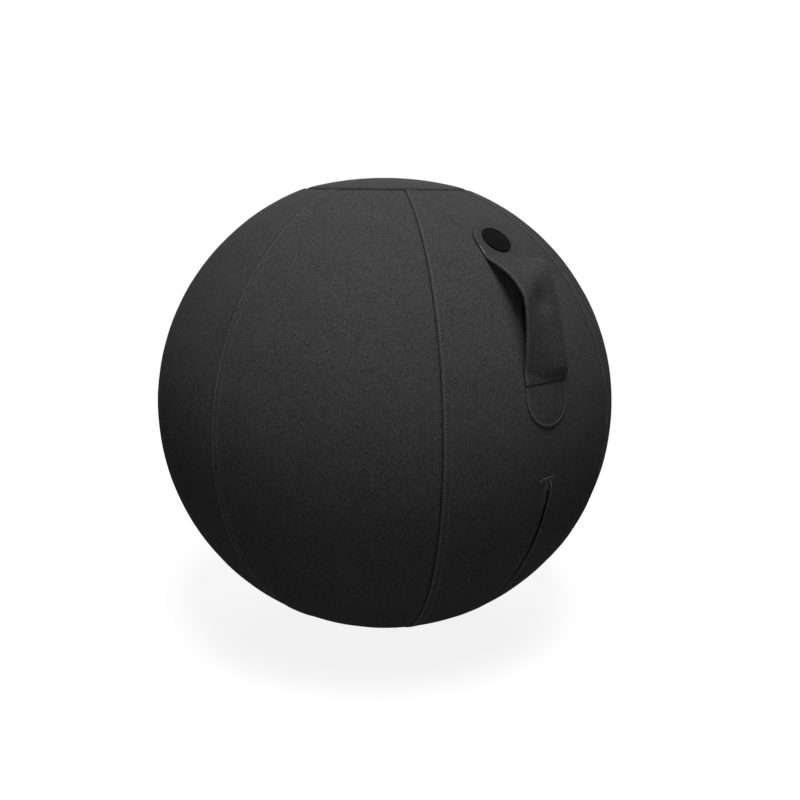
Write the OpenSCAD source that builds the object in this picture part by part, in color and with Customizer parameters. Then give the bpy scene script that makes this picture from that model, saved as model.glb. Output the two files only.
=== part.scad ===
// Sitting ball in a sewn cloth cover, with a strap handle and a zip.
// The frame stands on the floor under the ball: +Z is up and the handle faces -Y.
// Angles called height are seen from the ball's centre, up from its equator.

/* [Ball] */
// Diameter of the inflated ball across its cover
ball_d = 650; // [540:5:760]
// How much lower the crown is than a true sphere's
crown_drop = 5; // [2:0.5:8]
// Radius of the flat patch that rests on the floor
foot_r = 55; // [45:1:70]
// Wall of the air bladder
bladder_t = 1; // [0.8:0.1:1.6]

/* [Cover] */
// Thickness of the padded cover cloth
cloth_t = 2; // [1.2:0.1:2.6]
// Angle between the ball's axis and the seam of each round end panel
end_panel_angle = 20; // [15:0.5:24]
// Turn of the long seams away from the handle's plane
seam_turn = -0.9; // [-3:0.1:3]
// Width of the seam allowance folded behind each seam
binding_w = 14; // [8:1:18]
// Thickness of a folded seam allowance
binding_t = 1.1; // [0.6:0.1:1.4]

/* [Handle] */
// Width of the strap at the badge
strap_w = 62; // [50:1:70]
// Width of the strap at its sewn tab
tab_w = 68; // [56:1:76]
// Sideways place of the sewn tab from the badge
strap_lean = -6; // [-10:1:10]
// Thickness of the strap's outer cloth
strap_face_t = 1.2; // [0.8:0.1:1.6]
// Thickness of the stiff webbing inside the strap
strap_core_t = 0.8; // [0.6:0.1:1.4]
// Thickness of the cloth on the strap's underside
strap_lining_t = 1; // [0.8:0.1:1.6]
// Height angle of the badge and the strap's round upper end
badge_height = 48.6; // [46:0.1:51]
// Distance below the badge at which the strap leaves the ball
loop_start = 1; // [0.5:0.5:6]
// Height angle of the strap's soft bend
bend_height = 34.7; // [32:0.1:36]
// Difference in height angle between the bend's two ends
bend_slant = 7; // [0:0.5:8]
// Height angle where the strap meets the ball again
loop_end_height = 20.5; // [19:0.1:22]
// Difference in height angle between the two ends of that line
loop_end_slant = 5; // [0:0.5:6]
// Height angle of the lower tip of the strap's sewn tab
tab_tip_height = 6.1; // [4:0.1:8]
// Height of the strap's bend above the cover
loop_rise = 27; // [20:1:36]
// Diameter of the round badge
badge_d = 40; // [30:1:46]
// Thickness of the badge
badge_t = 1.6; // [1.2:0.1:2.4]

/* [Zip] */
// Angle of the zip's upper end below the equator
zip_top_depth = 6.2; // [4:0.1:8]
// Length of the zip opening on a ball of the middle size; it follows the ball's size
zip_len = 338; // [240:2:350]
// Width of the slit between the cover's two lips
slit_w = 4.4; // [4:0.1:6]
// Width of each zip tape
tape_w = 15; // [12:0.5:18]
// Thickness of a zip tape
tape_t = 0.8; // [0.5:0.1:1]
// Distance from one zip tooth to the next
tooth_pitch = 3; // [2.4:0.1:4]
// Height of a tooth, measured towards the ball's centre
tooth_h = 2.2; // [1.8:0.1:2.4]
// Depth of the tooth rows below the inner face of the cover
chain_depth = 4.6; // [4.4:0.1:5.4]
// Length of the zip slider along the zip
slider_len = 11; // [9:0.5:13]
// Length of the slider's pull
pull_len = 22; // [16:1:26]

/* [Valve] */
// Height angle of the valve
valve_height = -38; // [-44:1:-32]
// Turn of the valve away from the zip
valve_turn = 14; // [12:0.5:18]
// Diameter of the valve's bore
valve_bore_d = 9; // [7:0.5:10]

/* [Hidden] */

// One front panel and six side panels go round the ball
panel_count = 7;
panel_angle = 360 / panel_count;

// Clearances between sewn layers, between neighbouring panels and in the strap
layer_gap = 0.3;
seam_gap = 0.3;
ply_gap = 0.12;

// Space beside the end of a seam allowance, and how far the slit is cut past each end of the zip
end_space = 1;

// Size of ball for which the zip's length is given
middle_ball_d = 650;

ball_r = ball_d / 2;
lining_r = ball_r - cloth_t;
binding_top_r = lining_r - layer_gap;
binding_r = binding_top_r - binding_t;
bladder_r = binding_r - layer_gap;
centre_z = sqrt(ball_r * ball_r - foot_r * foot_r);

// The crown is a flatter sphere through the top seam
seam_r = ball_r * sin(end_panel_angle);
seam_z = ball_r * cos(end_panel_angle);
crown_sag = ball_r - crown_drop - seam_z;
crown_r = (seam_r * seam_r + crown_sag * crown_sag) / (2 * crown_sag);
crown_z = ball_r - crown_drop - crown_r;

// The two seam allowances beside the end panels
seam_gap_angle = arc_angle(seam_gap);
binding_angle = arc_angle(binding_w);

// Strap: plies counted outward from the ball
lining_low = layer_gap;
core_low = lining_low + strap_lining_t + ply_gap;
face_low = core_low + strap_core_t + ply_gap;
strap_top = face_low + strap_face_t;
core_margin = 5;
patch_margin = 5;
tab_centre_height = tab_tip_height + arc_angle(tab_w / 2);
bend_blend = 0.06;
loop_top_height = badge_height - arc_angle(badge_d / 2 + loop_start);
loop_flatness = 0.8;
ring_step = 1.3;
end_rings = 6;
first_turn = 10;
strips = 6;

// Badge
badge_low = ball_r + strap_top + ply_gap;
badge_rim_w = 1.8;
badge_rim_h = 0.4;

// Zip: places along the ball as height angles, places towards its centre as radii
zip_high = -zip_top_depth;
zip_low = zip_high - arc_angle(zip_len * ball_d / middle_ball_d);
chain_r = lining_r - chain_depth;
chain_gap = 0.9;
tooth_len = 1.7;
tooth_fill = 0.56;
cord_w = 0.7;
cord_inset = 0.3;
tape_edge = chain_gap + tooth_len;
stop_len = 2.6;
stop_extra = 0.2;
stop_gap = 0.6;
chain_high = zip_high - arc_angle(stop_len + stop_gap);
chain_low = zip_low + arc_angle(stop_len + stop_gap);
slit_high = zip_high + arc_angle(end_space);
slit_low = zip_low - arc_angle(end_space);

// Slider: flat plates above and below the tooth rows, joined by a neck between the rows
plate_t = 1.2;
plate_gap = 0.25;
slider_half_w = 4.8;
flange_w = 0.8;
flange_gap = 0.3;
neck_w = 1;
neck_len = 3;
neck_end = 1.5;
rest_gap = 0.4;
top_plate_r = chain_r + tooth_h / 2 + plate_gap;
low_plate_r = chain_r - tooth_h / 2 - plate_gap - plate_t;
slider_height = chain_high - arc_angle(slider_len / 2 + rest_gap);
bridge_w = 2;
bridge_len = 7.2;
bridge_post = 1.2;
bridge_gap = 1.65;
bridge_t = 1;

// Sloping web of each tape: where it starts and ends beside the slider
web_gap = 0.8;
web_run = 2.9;
web_in = slider_half_w + web_gap;
web_out = web_in + web_run;

// Pull: a bar under the bridge, two arms beside it and a flat blade down the slit
pull_play = 0.4;
pull_w = slit_w - 2 * pull_play;
pull_t = 1.1;
pull_bar_y = -1.5;
pull_bar_r = top_plate_r + plate_t + bridge_gap / 2;
pull_eye = 3.7;
arm_gap = 0.25;
arm_lap = 0.5;
arm_w = (pull_w - bridge_w) / 2 - arm_gap;

// Channel that the zip presses into the bladder
channel_floor_gap = 0.55;
channel_side_gap = 1.6;
channel_floor_r = low_plate_r - channel_floor_gap;
channel_half_w = slider_half_w + channel_side_gap;
channel_spread = 4.1;
channel_margin = 2;

// Tab sewn across the zip's upper end
end_tab_w = 24;
end_tab_h = 6;
end_tab_t = 0.9;
end_tab_shift = -7;

// Valve
valve_boss_wall = 6;
valve_boss_r = valve_bore_d / 2 + valve_boss_wall;
valve_boss_len = 12;
plug_head_lip = 3.5;
plug_head_r = valve_bore_d / 2 + plug_head_lip;
plug_head_t = 1.2;
plug_stem_len = 9;
plug_gap = 0.08;
plug_head_gap = 0.3;
valve_seat_depth = 2;
valve_seat_r = bladder_r - valve_seat_depth;

big = 2 * ball_d;
wedge_step = 20;
$fn = 144;

// Angle at the ball's centre that a length along the cover takes
function arc_angle(length) = length / ball_r * 180 / PI;

// Distance from the ball's cross axis of a place at x beside the zip's plane, on a ball layer
function beside_r(radius, x) = sqrt(radius * radius - x * x);

// Keep a value between 0 and 1
function clamp01(v) = min(1, max(0, v));

// How far the strap stands off the ball, from 0 where it is sewn to 1 at its bend;
// side runs from -1 at the strap's left edge to 1 at its right edge
function lift(height, side) =
    let (bend = bend_height + bend_slant / 2 * side)
    let (low = loop_end_height + loop_end_slant / 2 * side)
    let (rise = sin(90 * clamp01((loop_top_height - height) / (loop_top_height - bend))))
    let (fall = (height - low) / (bend - low))
    max(0, -bend_blend * ln(exp(-rise / bend_blend) + exp(-fall / bend_blend)));

// How far down the strap a height lies, from 0 at the badge to 1 at the sewn tab's centre
function down(height) = clamp01((badge_height - height) / (badge_height - tab_centre_height));

// Half the strap's width at a height
function half_width(height) = (strap_w + (tab_w - strap_w) * down(height)) / 2;

// A point of a strap ply, half_w wide to each side: it hugs the ball where it is sewn,
// and is flat across the loop
function strap_point(height, half_w, side, above) =
    let (x = strap_lean * down(height) + half_w * side)
    let (l = lift(height, side * half_w / half_width(height)))
    let (r = ball_r + above + loop_rise * l)
    let (hug = 1 - loop_flatness * l)
    let (s = r - hug * (r - sqrt(r * r - x * x)))
    [x, -s * cos(height), s * sin(height)];

// Height angles at even steps below one height, down to another
function steps_down(from, to) =
    let (count = ceil((from - to) / ring_step))
    [for (i = [1 : count]) from + (to - from) * i / count];

// Places across a ply, from -1 at its left edge to 1 at its right: the outer plies have those of
// the webbing between them and one more at each edge, so that all three bend alike
function ply_sides(height, margin) =
    let (inner = [for (j = [0 : strips]) 2 * j / strips - 1])
    margin > 0 ? inner : concat([-1], inner * (1 - core_margin / half_width(height)), [1]);

// Height angle and half width of each cross row, closer together towards the two round ends
function strap_rows(margin) =
    let (top_w = strap_w / 2 - margin, low_w = tab_w / 2 - margin)
    let (turns = [for (i = [0 : end_rings - 1]) first_turn + (90 - first_turn) * i / end_rings])
    let (loop = steps_down(loop_top_height, tab_centre_height))
    let (heights = concat([badge_height], steps_down(badge_height, loop_top_height), loop))
    concat(
        [for (a = turns) [badge_height + arc_angle(top_w) * cos(a), top_w * sin(a)]],
        [for (h = heights) [h, half_width(h) - margin]],
        [for (i = [1 : end_rings]) let (a = turns[end_rings - i])
            [tab_centre_height - arc_angle(low_w) * cos(a), low_w * sin(a)]]
    );

// Put children at a place in front of the ball: their +Z points outward and their +Y up along the cover
module at_front(height, radius = 0) {
    rotate([90 - height, 0, 0]) translate([0, 0, radius]) children();
}

// Put children, drawn round the ball's centre, where the ball stands
module in_place() {
    translate([0, 0, centre_z]) children();
}

// Turn a flat outline of [radius, x] points about the ball's cross axis, between two height angles
module zip_sweep(low, high) {
    rotate([0, 90, 0]) rotate([0, 0, 270 - high]) rotate_extrude(angle = high - low) children();
}

// A ball-shaped layer between two radii
module shell(inner, outer) {
    difference() {
        sphere(r = outer);
        sphere(r = inner);
    }
}

// The half plane outline between two angles from the ball's upward axis
module wedge(from, to) {
    steps = ceil((to - from) / wedge_step);
    rim = [for (i = [0 : steps]) let (a = from + (to - from) * i / steps) big * [sin(a), cos(a)]];
    polygon(concat([[0, 0]], rim));
}

// Half outline of a ball layer, kept between two angles from the upward axis
module layer_outline(inner, outer, from, to) {
    intersection() {
        difference() {
            circle(r = outer);
            circle(r = inner);
        }
        wedge(from, to);
    }
}

// A cover panel between two long seams
module long_panel(index) {
    width = panel_angle - seam_gap_angle;
    rotate([0, 0, seam_turn + index * panel_angle - width / 2 - 90])
        rotate_extrude(angle = width)
            layer_outline(lining_r, ball_r, end_panel_angle, 180 - end_panel_angle);
}

// The panel with the handle, slit for the zip
module front_panel() {
    color("#3b3b3d") in_place() difference() {
        long_panel(0);
        zip_sweep(slit_low, slit_high)
            translate([lining_r - cloth_t, -slit_w / 2]) square([ball_r, slit_w]);
    }
}

module side_panel(index) {
    color("#38383a") in_place() long_panel(index);
}

// The round panel on the crown, flatter than the rest of the ball
module top_panel() {
    color("#3f3f41") in_place() rotate_extrude() intersection() {
        translate([0, crown_z]) difference() {
            circle(r = crown_r);
            circle(r = crown_r - cloth_t);
        }
        wedge(0, end_panel_angle - seam_gap_angle);
    }
}

// The ball's outline from below: a sphere cut flat for the floor
module footed(radius, foot_cut) {
    intersection() {
        circle(r = radius);
        translate([0, -centre_z + foot_cut]) square([big, big]);
    }
}

// The round panel under the ball, with the flat that it stands on
module base_panel() {
    color("#2b2b2d") in_place() rotate_extrude() intersection() {
        difference() {
            footed(ball_r, 0);
            footed(lining_r, cloth_t);
        }
        wedge(180 - end_panel_angle + seam_gap_angle, 180);
    }
}

// Seam allowances folded flat behind the long seams
module long_seam_bindings() {
    from = end_panel_angle + binding_angle + arc_angle(end_space);
    color("#262628") in_place() for (i = [0 : panel_count - 1])
        rotate([0, 0, seam_turn + (i + 0.5) * panel_angle]) intersection() {
            rotate([0, 0, -panel_angle / 2 - 90]) rotate_extrude(angle = panel_angle)
                layer_outline(binding_r, binding_top_r, from, 180 - from);
            translate([-binding_w / 2, -big, -big]) cube([binding_w, big, 2 * big]);
        }
}

// Seam allowance behind the seam of a round panel, turned under the long panels
module ring_binding(from) {
    rotate_extrude() layer_outline(binding_r, binding_top_r, from, from + binding_angle);
}

module top_seam_binding() {
    color("#262628") in_place() ring_binding(end_panel_angle);
}

module base_seam_binding() {
    color("#262628") in_place() ring_binding(180 - end_panel_angle - binding_angle);
}

// A ply of the strap between two heights above the cover
module strap_ply(low, high, margin) {
    rows = strap_rows(margin);
    across = len(ply_sides(badge_height, margin));
    ring = 2 * across;
    points = [for (row = rows) let (sides = ply_sides(row[0], margin)) each concat(
        [for (j = [0 : across - 1]) strap_point(row[0], row[1], sides[j], high)],
        [for (j = [across - 1 : -1 : 0]) strap_point(row[0], row[1], sides[j], low)]
    )];
    skin = [for (i = [0 : len(rows) - 2], j = [0 : ring - 1]) each
        let (a = i * ring + j, b = i * ring + (j + 1) % ring)
        j < across ? [[a, b, b + ring], [a, b + ring, a + ring]]
            : [[a, b, a + ring], [b, b + ring, a + ring]]];
    last = (len(rows) - 1) * ring;
    first_end = [for (j = [0 : across - 2]) each
        [[j, ring - 1 - j, ring - 2 - j], [j, ring - 2 - j, j + 1]]];
    last_end = [for (j = [0 : across - 2]) each let (a = last + j, b = last + ring - 2 - j)
        [[a, b, b + 1], [a, a + 1, b]]];
    polyhedron(points, concat(skin, first_end, last_end));
}

module handle_face() {
    color("#434345") in_place() strap_ply(face_low, strap_top, 0);
}

module handle_core() {
    color("#1c1c1e") in_place() strap_ply(core_low, face_low - ply_gap, core_margin);
}

module handle_lining() {
    color("#333335") in_place() strap_ply(lining_low, core_low - ply_gap, 0);
}

// Patch behind the cover that carries the strap's round upper end
module handle_top_patch() {
    color("#262628") in_place() intersection() {
        shell(binding_r, binding_top_r);
        at_front(badge_height) cylinder(r = strap_w / 2 + patch_margin, h = big);
    }
}

// Patch behind the cover that carries the strap's sewn tab
module handle_tab_patch() {
    color("#262628") in_place() intersection() {
        shell(binding_r, binding_top_r);
        at_front(tab_centre_height) translate([strap_lean, 0, 0]) tab_column();
    }
}

// Column with the sewn tab's outline and a margin: round below and straight above
module tab_column() {
    r = tab_w / 2 + patch_margin;
    rise = (loop_end_height - tab_centre_height) * PI / 180 * ball_r;
    cylinder(r = r, h = big);
    translate([-r, 0, 0]) cube([2 * r, rise, big]);
}

// Round badge with a raised rim on the strap's upper end
module badge() {
    color("#141415") in_place() difference() {
        intersection() {
            shell(badge_low, badge_low + badge_t);
            at_front(badge_height) cylinder(d = badge_d, h = big);
        }
        intersection() {
            shell(badge_low + badge_t - badge_rim_h, badge_low + 2 * badge_t);
            at_front(badge_height) cylinder(d = badge_d - 2 * badge_rim_w, h = big);
        }
    }
}

// Outline of the right-hand tape: sewn flat behind the cover, then turned in to the tooth row
module tape_outline() {
    edge_r = beside_r(binding_top_r, tape_w);
    bend_r = beside_r(binding_top_r, web_out);
    inner_low = chain_r - tape_t / 2;
    polygon([
        [edge_r - tape_t, tape_w], [edge_r, tape_w], [bend_r, web_out],
        [inner_low + tape_t, web_in], [inner_low + tape_t, tape_edge],
        [inner_low, tape_edge], [inner_low, web_in + tape_t / 2], [bend_r - tape_t, web_out + tape_t / 2]
    ]);
}

module zip_tape_right() {
    color("#1a1a1c") in_place() zip_sweep(zip_low, zip_high) tape_outline();
}

module zip_tape_left() {
    mirror([1, 0, 0]) zip_tape_right();
}

// A row of teeth on a cord along the right-hand tape's edge
module teeth_row(first) {
    step = tooth_pitch / chain_r * 180 / PI;
    count = floor((chain_high - chain_low - first * step) / step);
    tooth = tooth_pitch * tooth_fill;
    zip_sweep(chain_low, chain_high)
        translate([chain_r - tooth_h / 2 + cord_inset, tape_edge - cord_w])
            square([tooth_h - 2 * cord_inset, cord_w]);
    for (i = [0 : count - 1])
        at_front(chain_high - (first + i + 0.5) * step, chain_r - tooth_h / 2)
            translate([chain_gap, -tooth / 2, 0]) cube([tooth_len, tooth, tooth_h]);
}

module zip_teeth_right() {
    color("#101012") in_place() teeth_row(0);
}

module zip_teeth_left() {
    color("#101012") in_place() mirror([1, 0, 0]) teeth_row(0.5);
}

// Stops that end the tooth rows above the slider
module zip_top_stops() {
    stop_h = tooth_h + 2 * stop_extra;
    color("#0c0c0d") in_place() for (side = [0, 1]) mirror([side, 0, 0])
        at_front(zip_high - arc_angle(stop_len / 2), chain_r - stop_h / 2)
            translate([chain_gap, -stop_len / 2, 0]) cube([tooth_len, stop_len, stop_h]);
}

// Stop that joins the two tapes under the tooth rows
module zip_bottom_stop() {
    stop_h = tooth_h + 2 * stop_extra;
    color("#0c0c0d") in_place() at_front(zip_low + arc_angle(stop_len / 2), chain_r - stop_h / 2)
        translate([-tape_edge, -stop_len / 2, 0]) cube([2 * tape_edge, stop_len, stop_h]);
}

// Plate of the slider with a flange along each side, drawn above the tooth rows
module slider_plate(flange_h) {
    translate([-slider_half_w, -slider_len / 2, 0]) cube([2 * slider_half_w, slider_len, plate_t]);
    for (side = [0, 1]) mirror([side, 0, 0])
        translate([slider_half_w - flange_w, -slider_len / 2, -flange_h])
            cube([flange_w, slider_len, flange_h]);
}

module zip_slider() {
    flange_h = tooth_h / 2 + plate_gap - tape_t / 2 - flange_gap;
    neck_h = tooth_h + 2 * plate_gap;
    post_h = bridge_gap + bridge_t;
    color("#0a0a0b") in_place() at_front(slider_height) {
        translate([0, 0, top_plate_r]) slider_plate(flange_h);
        translate([0, 0, low_plate_r + plate_t]) mirror([0, 0, 1]) slider_plate(flange_h);
        translate([-neck_w / 2, slider_len / 2 - neck_end - neck_len, low_plate_r + plate_t])
            cube([neck_w, neck_len, neck_h]);
        translate([-bridge_w / 2, 0, top_plate_r + plate_t]) {
            for (end = [0, 1]) mirror([0, end, 0])
                translate([0, bridge_len / 2 - bridge_post, 0]) cube([bridge_w, bridge_post, post_h]);
            translate([0, -bridge_len / 2, bridge_gap]) cube([bridge_w, bridge_len, bridge_t]);
        }
    }
}

module zip_pull() {
    color("#151517") in_place() at_front(slider_height, pull_bar_r) translate([0, pull_bar_y, 0]) {
        rotate([0, 90, 0]) cylinder(d = pull_t, h = pull_w, center = true);
        for (side = [0, 1]) mirror([side, 0, 0])
            translate([pull_w / 2 - arm_w, -pull_eye - arm_lap, -pull_t / 2])
                cube([arm_w, pull_eye + arm_lap, pull_t]);
        translate([-pull_w / 2, -pull_len, -pull_t / 2]) cube([pull_w, pull_len - pull_eye, pull_t]);
    }
}

// Folded tab sewn across the upper end of the zip
module zip_end_tab() {
    color("#48484a") in_place() intersection() {
        shell(ball_r + ply_gap, ball_r + ply_gap + end_tab_t);
        at_front(slit_high)
            translate([end_tab_shift - end_tab_w / 2, 0, 0]) cube([end_tab_w, end_tab_h, big]);
    }
}

// Outline of the pressed channel, wider by a margin
module channel_outline(margin) {
    floor_r = channel_floor_r - margin;
    half_w = channel_half_w + margin;
    open_w = half_w + channel_spread;
    polygon([[floor_r, -half_w], [floor_r, half_w], [ball_r, open_w], [ball_r, -open_w]]);
}

// The air bladder's outside, drawn in by a margin for its inside
module bladder_form(margin) {
    spread = arc_angle(channel_margin + margin);
    difference() {
        rotate_extrude() intersection() {
            footed(bladder_r - margin, ball_r - bladder_r + margin);
            translate([0, crown_z]) circle(r = crown_r - (ball_r - bladder_r) - margin);
            translate([0, -big]) square([big, 2 * big]);
        }
        zip_sweep(zip_low - spread, zip_high + spread) channel_outline(margin);
    }
}

// Put children on the valve's axis, with +Z pointing out of the ball
module at_valve() {
    rotate([0, 0, valve_turn]) at_front(valve_height) children();
}

module bladder() {
    color("#8d8f92") in_place() difference() {
        bladder_form(0);
        difference() {
            bladder_form(bladder_t);
            at_valve() translate([0, 0, bladder_r - valve_boss_len])
                cylinder(r = valve_boss_r, h = 2 * valve_boss_len);
        }
        at_valve() translate([0, 0, bladder_r - 2 * valve_boss_len])
            cylinder(d = valve_bore_d, h = 3 * valve_boss_len);
        at_valve() translate([0, 0, valve_seat_r])
            cylinder(r = plug_head_r + plug_head_gap, h = valve_boss_len);
    }
}

// Stopper with a flat head that sits in the valve
module valve_plug() {
    color("#d8d8d4") in_place() at_valve() {
        translate([0, 0, valve_seat_r]) cylinder(r = plug_head_r, h = plug_head_t);
        translate([0, 0, valve_seat_r - plug_stem_len])
            cylinder(r = valve_bore_d / 2 - plug_gap, h = plug_stem_len);
    }
}

front_panel();
side_panel(1);  // side_panel_1
side_panel(2);  // side_panel_2
side_panel(3);  // side_panel_3
side_panel(4);  // side_panel_4
side_panel(5);  // side_panel_5
side_panel(6);  // side_panel_6
top_panel();
base_panel();
long_seam_bindings();
top_seam_binding();
base_seam_binding();
handle_face();
handle_core();
handle_lining();
handle_top_patch();
handle_tab_patch();
badge();
zip_tape_left();
zip_tape_right();
zip_teeth_left();
zip_teeth_right();
zip_top_stops();
zip_bottom_stop();
zip_slider();
zip_pull();
zip_end_tab();
bladder();
valve_plug();
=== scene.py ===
"""Sitting ball: its cloth cover, stitching, strap handle, badge and zip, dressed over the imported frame."""

import json
import logging
import math
from dataclasses import dataclass
from enum import Enum
from typing import Callable, Iterable

import bmesh
import bpy
from mathutils import Matrix, Vector
from mathutils.noise import noise


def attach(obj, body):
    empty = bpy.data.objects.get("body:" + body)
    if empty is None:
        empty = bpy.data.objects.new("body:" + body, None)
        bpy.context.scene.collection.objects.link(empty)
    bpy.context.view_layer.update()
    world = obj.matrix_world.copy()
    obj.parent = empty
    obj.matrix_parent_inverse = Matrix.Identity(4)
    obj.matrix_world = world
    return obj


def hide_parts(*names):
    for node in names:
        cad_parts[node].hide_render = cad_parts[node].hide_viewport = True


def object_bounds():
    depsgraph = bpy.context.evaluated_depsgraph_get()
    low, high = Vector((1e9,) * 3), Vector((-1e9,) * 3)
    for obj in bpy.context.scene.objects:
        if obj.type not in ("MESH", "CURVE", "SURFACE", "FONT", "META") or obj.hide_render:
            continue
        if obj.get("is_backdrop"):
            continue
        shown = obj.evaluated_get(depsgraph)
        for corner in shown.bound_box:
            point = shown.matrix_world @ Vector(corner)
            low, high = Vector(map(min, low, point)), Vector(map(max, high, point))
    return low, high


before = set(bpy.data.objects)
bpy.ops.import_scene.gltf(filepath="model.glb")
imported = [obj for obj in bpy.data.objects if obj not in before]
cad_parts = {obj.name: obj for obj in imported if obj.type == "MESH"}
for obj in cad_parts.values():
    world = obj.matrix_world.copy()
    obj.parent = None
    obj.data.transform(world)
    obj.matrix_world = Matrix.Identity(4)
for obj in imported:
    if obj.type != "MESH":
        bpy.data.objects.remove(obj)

LOG = logging.getLogger("sitting_ball")
MM = 0.001
WELD = 1e-6
# Vertex attribute that carries rubbing and painted light and shade into the cloth's colour.
CUT = "cut"
WORN_AND_PAINTED_LIGHT = "worn_and_painted_light"

Socket = bpy.types.NodeSocket
Node = bpy.types.Node
Tree = bpy.types.NodeTree
Mesh = bmesh.types.BMesh
Pair = tuple[float, float]
Trio = tuple[float, float, float]
Place = Callable[[int, int, bool], Vector]


# Small sums


def linear(code: str) -> tuple[float, float, float, float]:
    """Turn an sRGB hex colour to a linear one.

    Args:
        code: The colour, as #rrggbb.

    Returns:
        Red, green, blue and alpha, linear.
    """
    shares = [int(code[i:i + 2], 16) / 255 for i in (1, 3, 5)]
    red, green, blue = (s / 12.92 if s <= 0.04045 else ((s + 0.055) / 1.055) ** 2.4 for s in shares)
    return red, green, blue, 1.0


def clamped(value: float) -> float:
    """Keep a share between 0 and 1."""
    return min(1.0, max(0.0, value))


def eased(low: float, high: float, value: float) -> float:
    """Ease from 0 to 1 as a value goes from low to high.

    Args:
        low: Where the result is still 0.
        high: Where the result reaches 1.
        value: The value.

    Returns:
        The eased share.
    """
    share = clamped((value - low) / (high - low))
    return share * share * (3 - 2 * share)


def evenly(low: float, high: float, steps: int) -> list[float]:
    """Even places from one to another, with both."""
    return [low + (high - low) * i / steps for i in range(steps + 1)]


def bump(distance: float, width: float) -> float:
    """Height, from 1 to 0, of a soft bump at a distance from its middle."""
    return math.exp(-((distance / width) ** 2))


def feed(node: Node, inputs: dict) -> None:
    """Give a node's inputs their values or their sources.

    Args:
        node: The node.
        inputs: For each input, by name or number, its value, the output that feeds it, or a node, which feeds it by
            its first output.
    """
    for key, value in inputs.items():
        source = value.outputs[0] if isinstance(value, Node) else value
        if isinstance(source, Socket):
            node.id_data.links.new(source, node.inputs[key])
        else:
            node.inputs[key].default_value = source


def add(tree: Tree, kind: str, inputs: dict | None = None, **settings) -> Node:
    """Add a node with its settings and links.

    Args:
        tree: The material's or world's node tree.
        kind: The node's type name, without the words ShaderNode.
        inputs: What its inputs get, as in feed.
        settings: The node's own options.

    Returns:
        The new node.
    """
    node = tree.nodes.new("ShaderNode" + kind)
    for key, value in settings.items():
        setattr(node, key, value)
    feed(node, inputs or {})
    return node


def cleared(block: bpy.types.Material | bpy.types.World) -> Tree:
    """Turn on the nodes of a material or a world, and clear them."""
    block.use_nodes = True
    block.node_tree.nodes.clear()
    return block.node_tree


# Finishes


class Slot(Enum):
    """The record's material slots."""

    COVER = "cover_cloth"
    SEAM = "seam_cloth"
    WEBBING = "webbing"
    BADGE = "badge_rubber"
    TAPE = "zip_tape"
    TEETH = "zip_teeth"
    METAL = "zip_metal"
    BLADDER = "bladder_vinyl"
    PLUG = "plug_plastic"


class Weave(Enum):
    """How the threads of a cloth cross: the threads in one repeat, and how many of them lie on top."""

    PLAIN = (2, 1)
    TWILL = (4, 2)


@dataclass(frozen=True)
class Finish:
    """What every finish has: a name of its material and process, a slot, and the two colours that it varies between."""

    name: str
    slot: Slot
    dark: str
    light: str

    def material(self) -> bpy.types.Material:
        """Find this finish's material, or make it.

        Returns:
            The material.
        """
        found = bpy.data.materials.get(self.name)
        if found:
            return found
        made = bpy.data.materials.new(self.name)
        tree = cleared(made)
        shader = add(tree, "BsdfPrincipled")
        add(tree, "OutputMaterial", {"Surface": shader})
        self.paint(tree, shader)
        return made

    def colour(self, tree: Tree, share: Socket | Node) -> Socket:
        """Vary the colour from dark to light by a share."""
        return add(tree, "Mix", {0: share, 6: linear(self.dark), 7: linear(self.light)}, data_type="RGBA",
                   clamp_factor=False).outputs[2]

    def paint(self, tree: Tree, shader: Node) -> None:
        """Add the nodes that feed the shader, and set its other inputs.

        Args:
            tree: The material's node tree.
            shader: Its shader.
        """
        raise NotImplementedError


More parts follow.
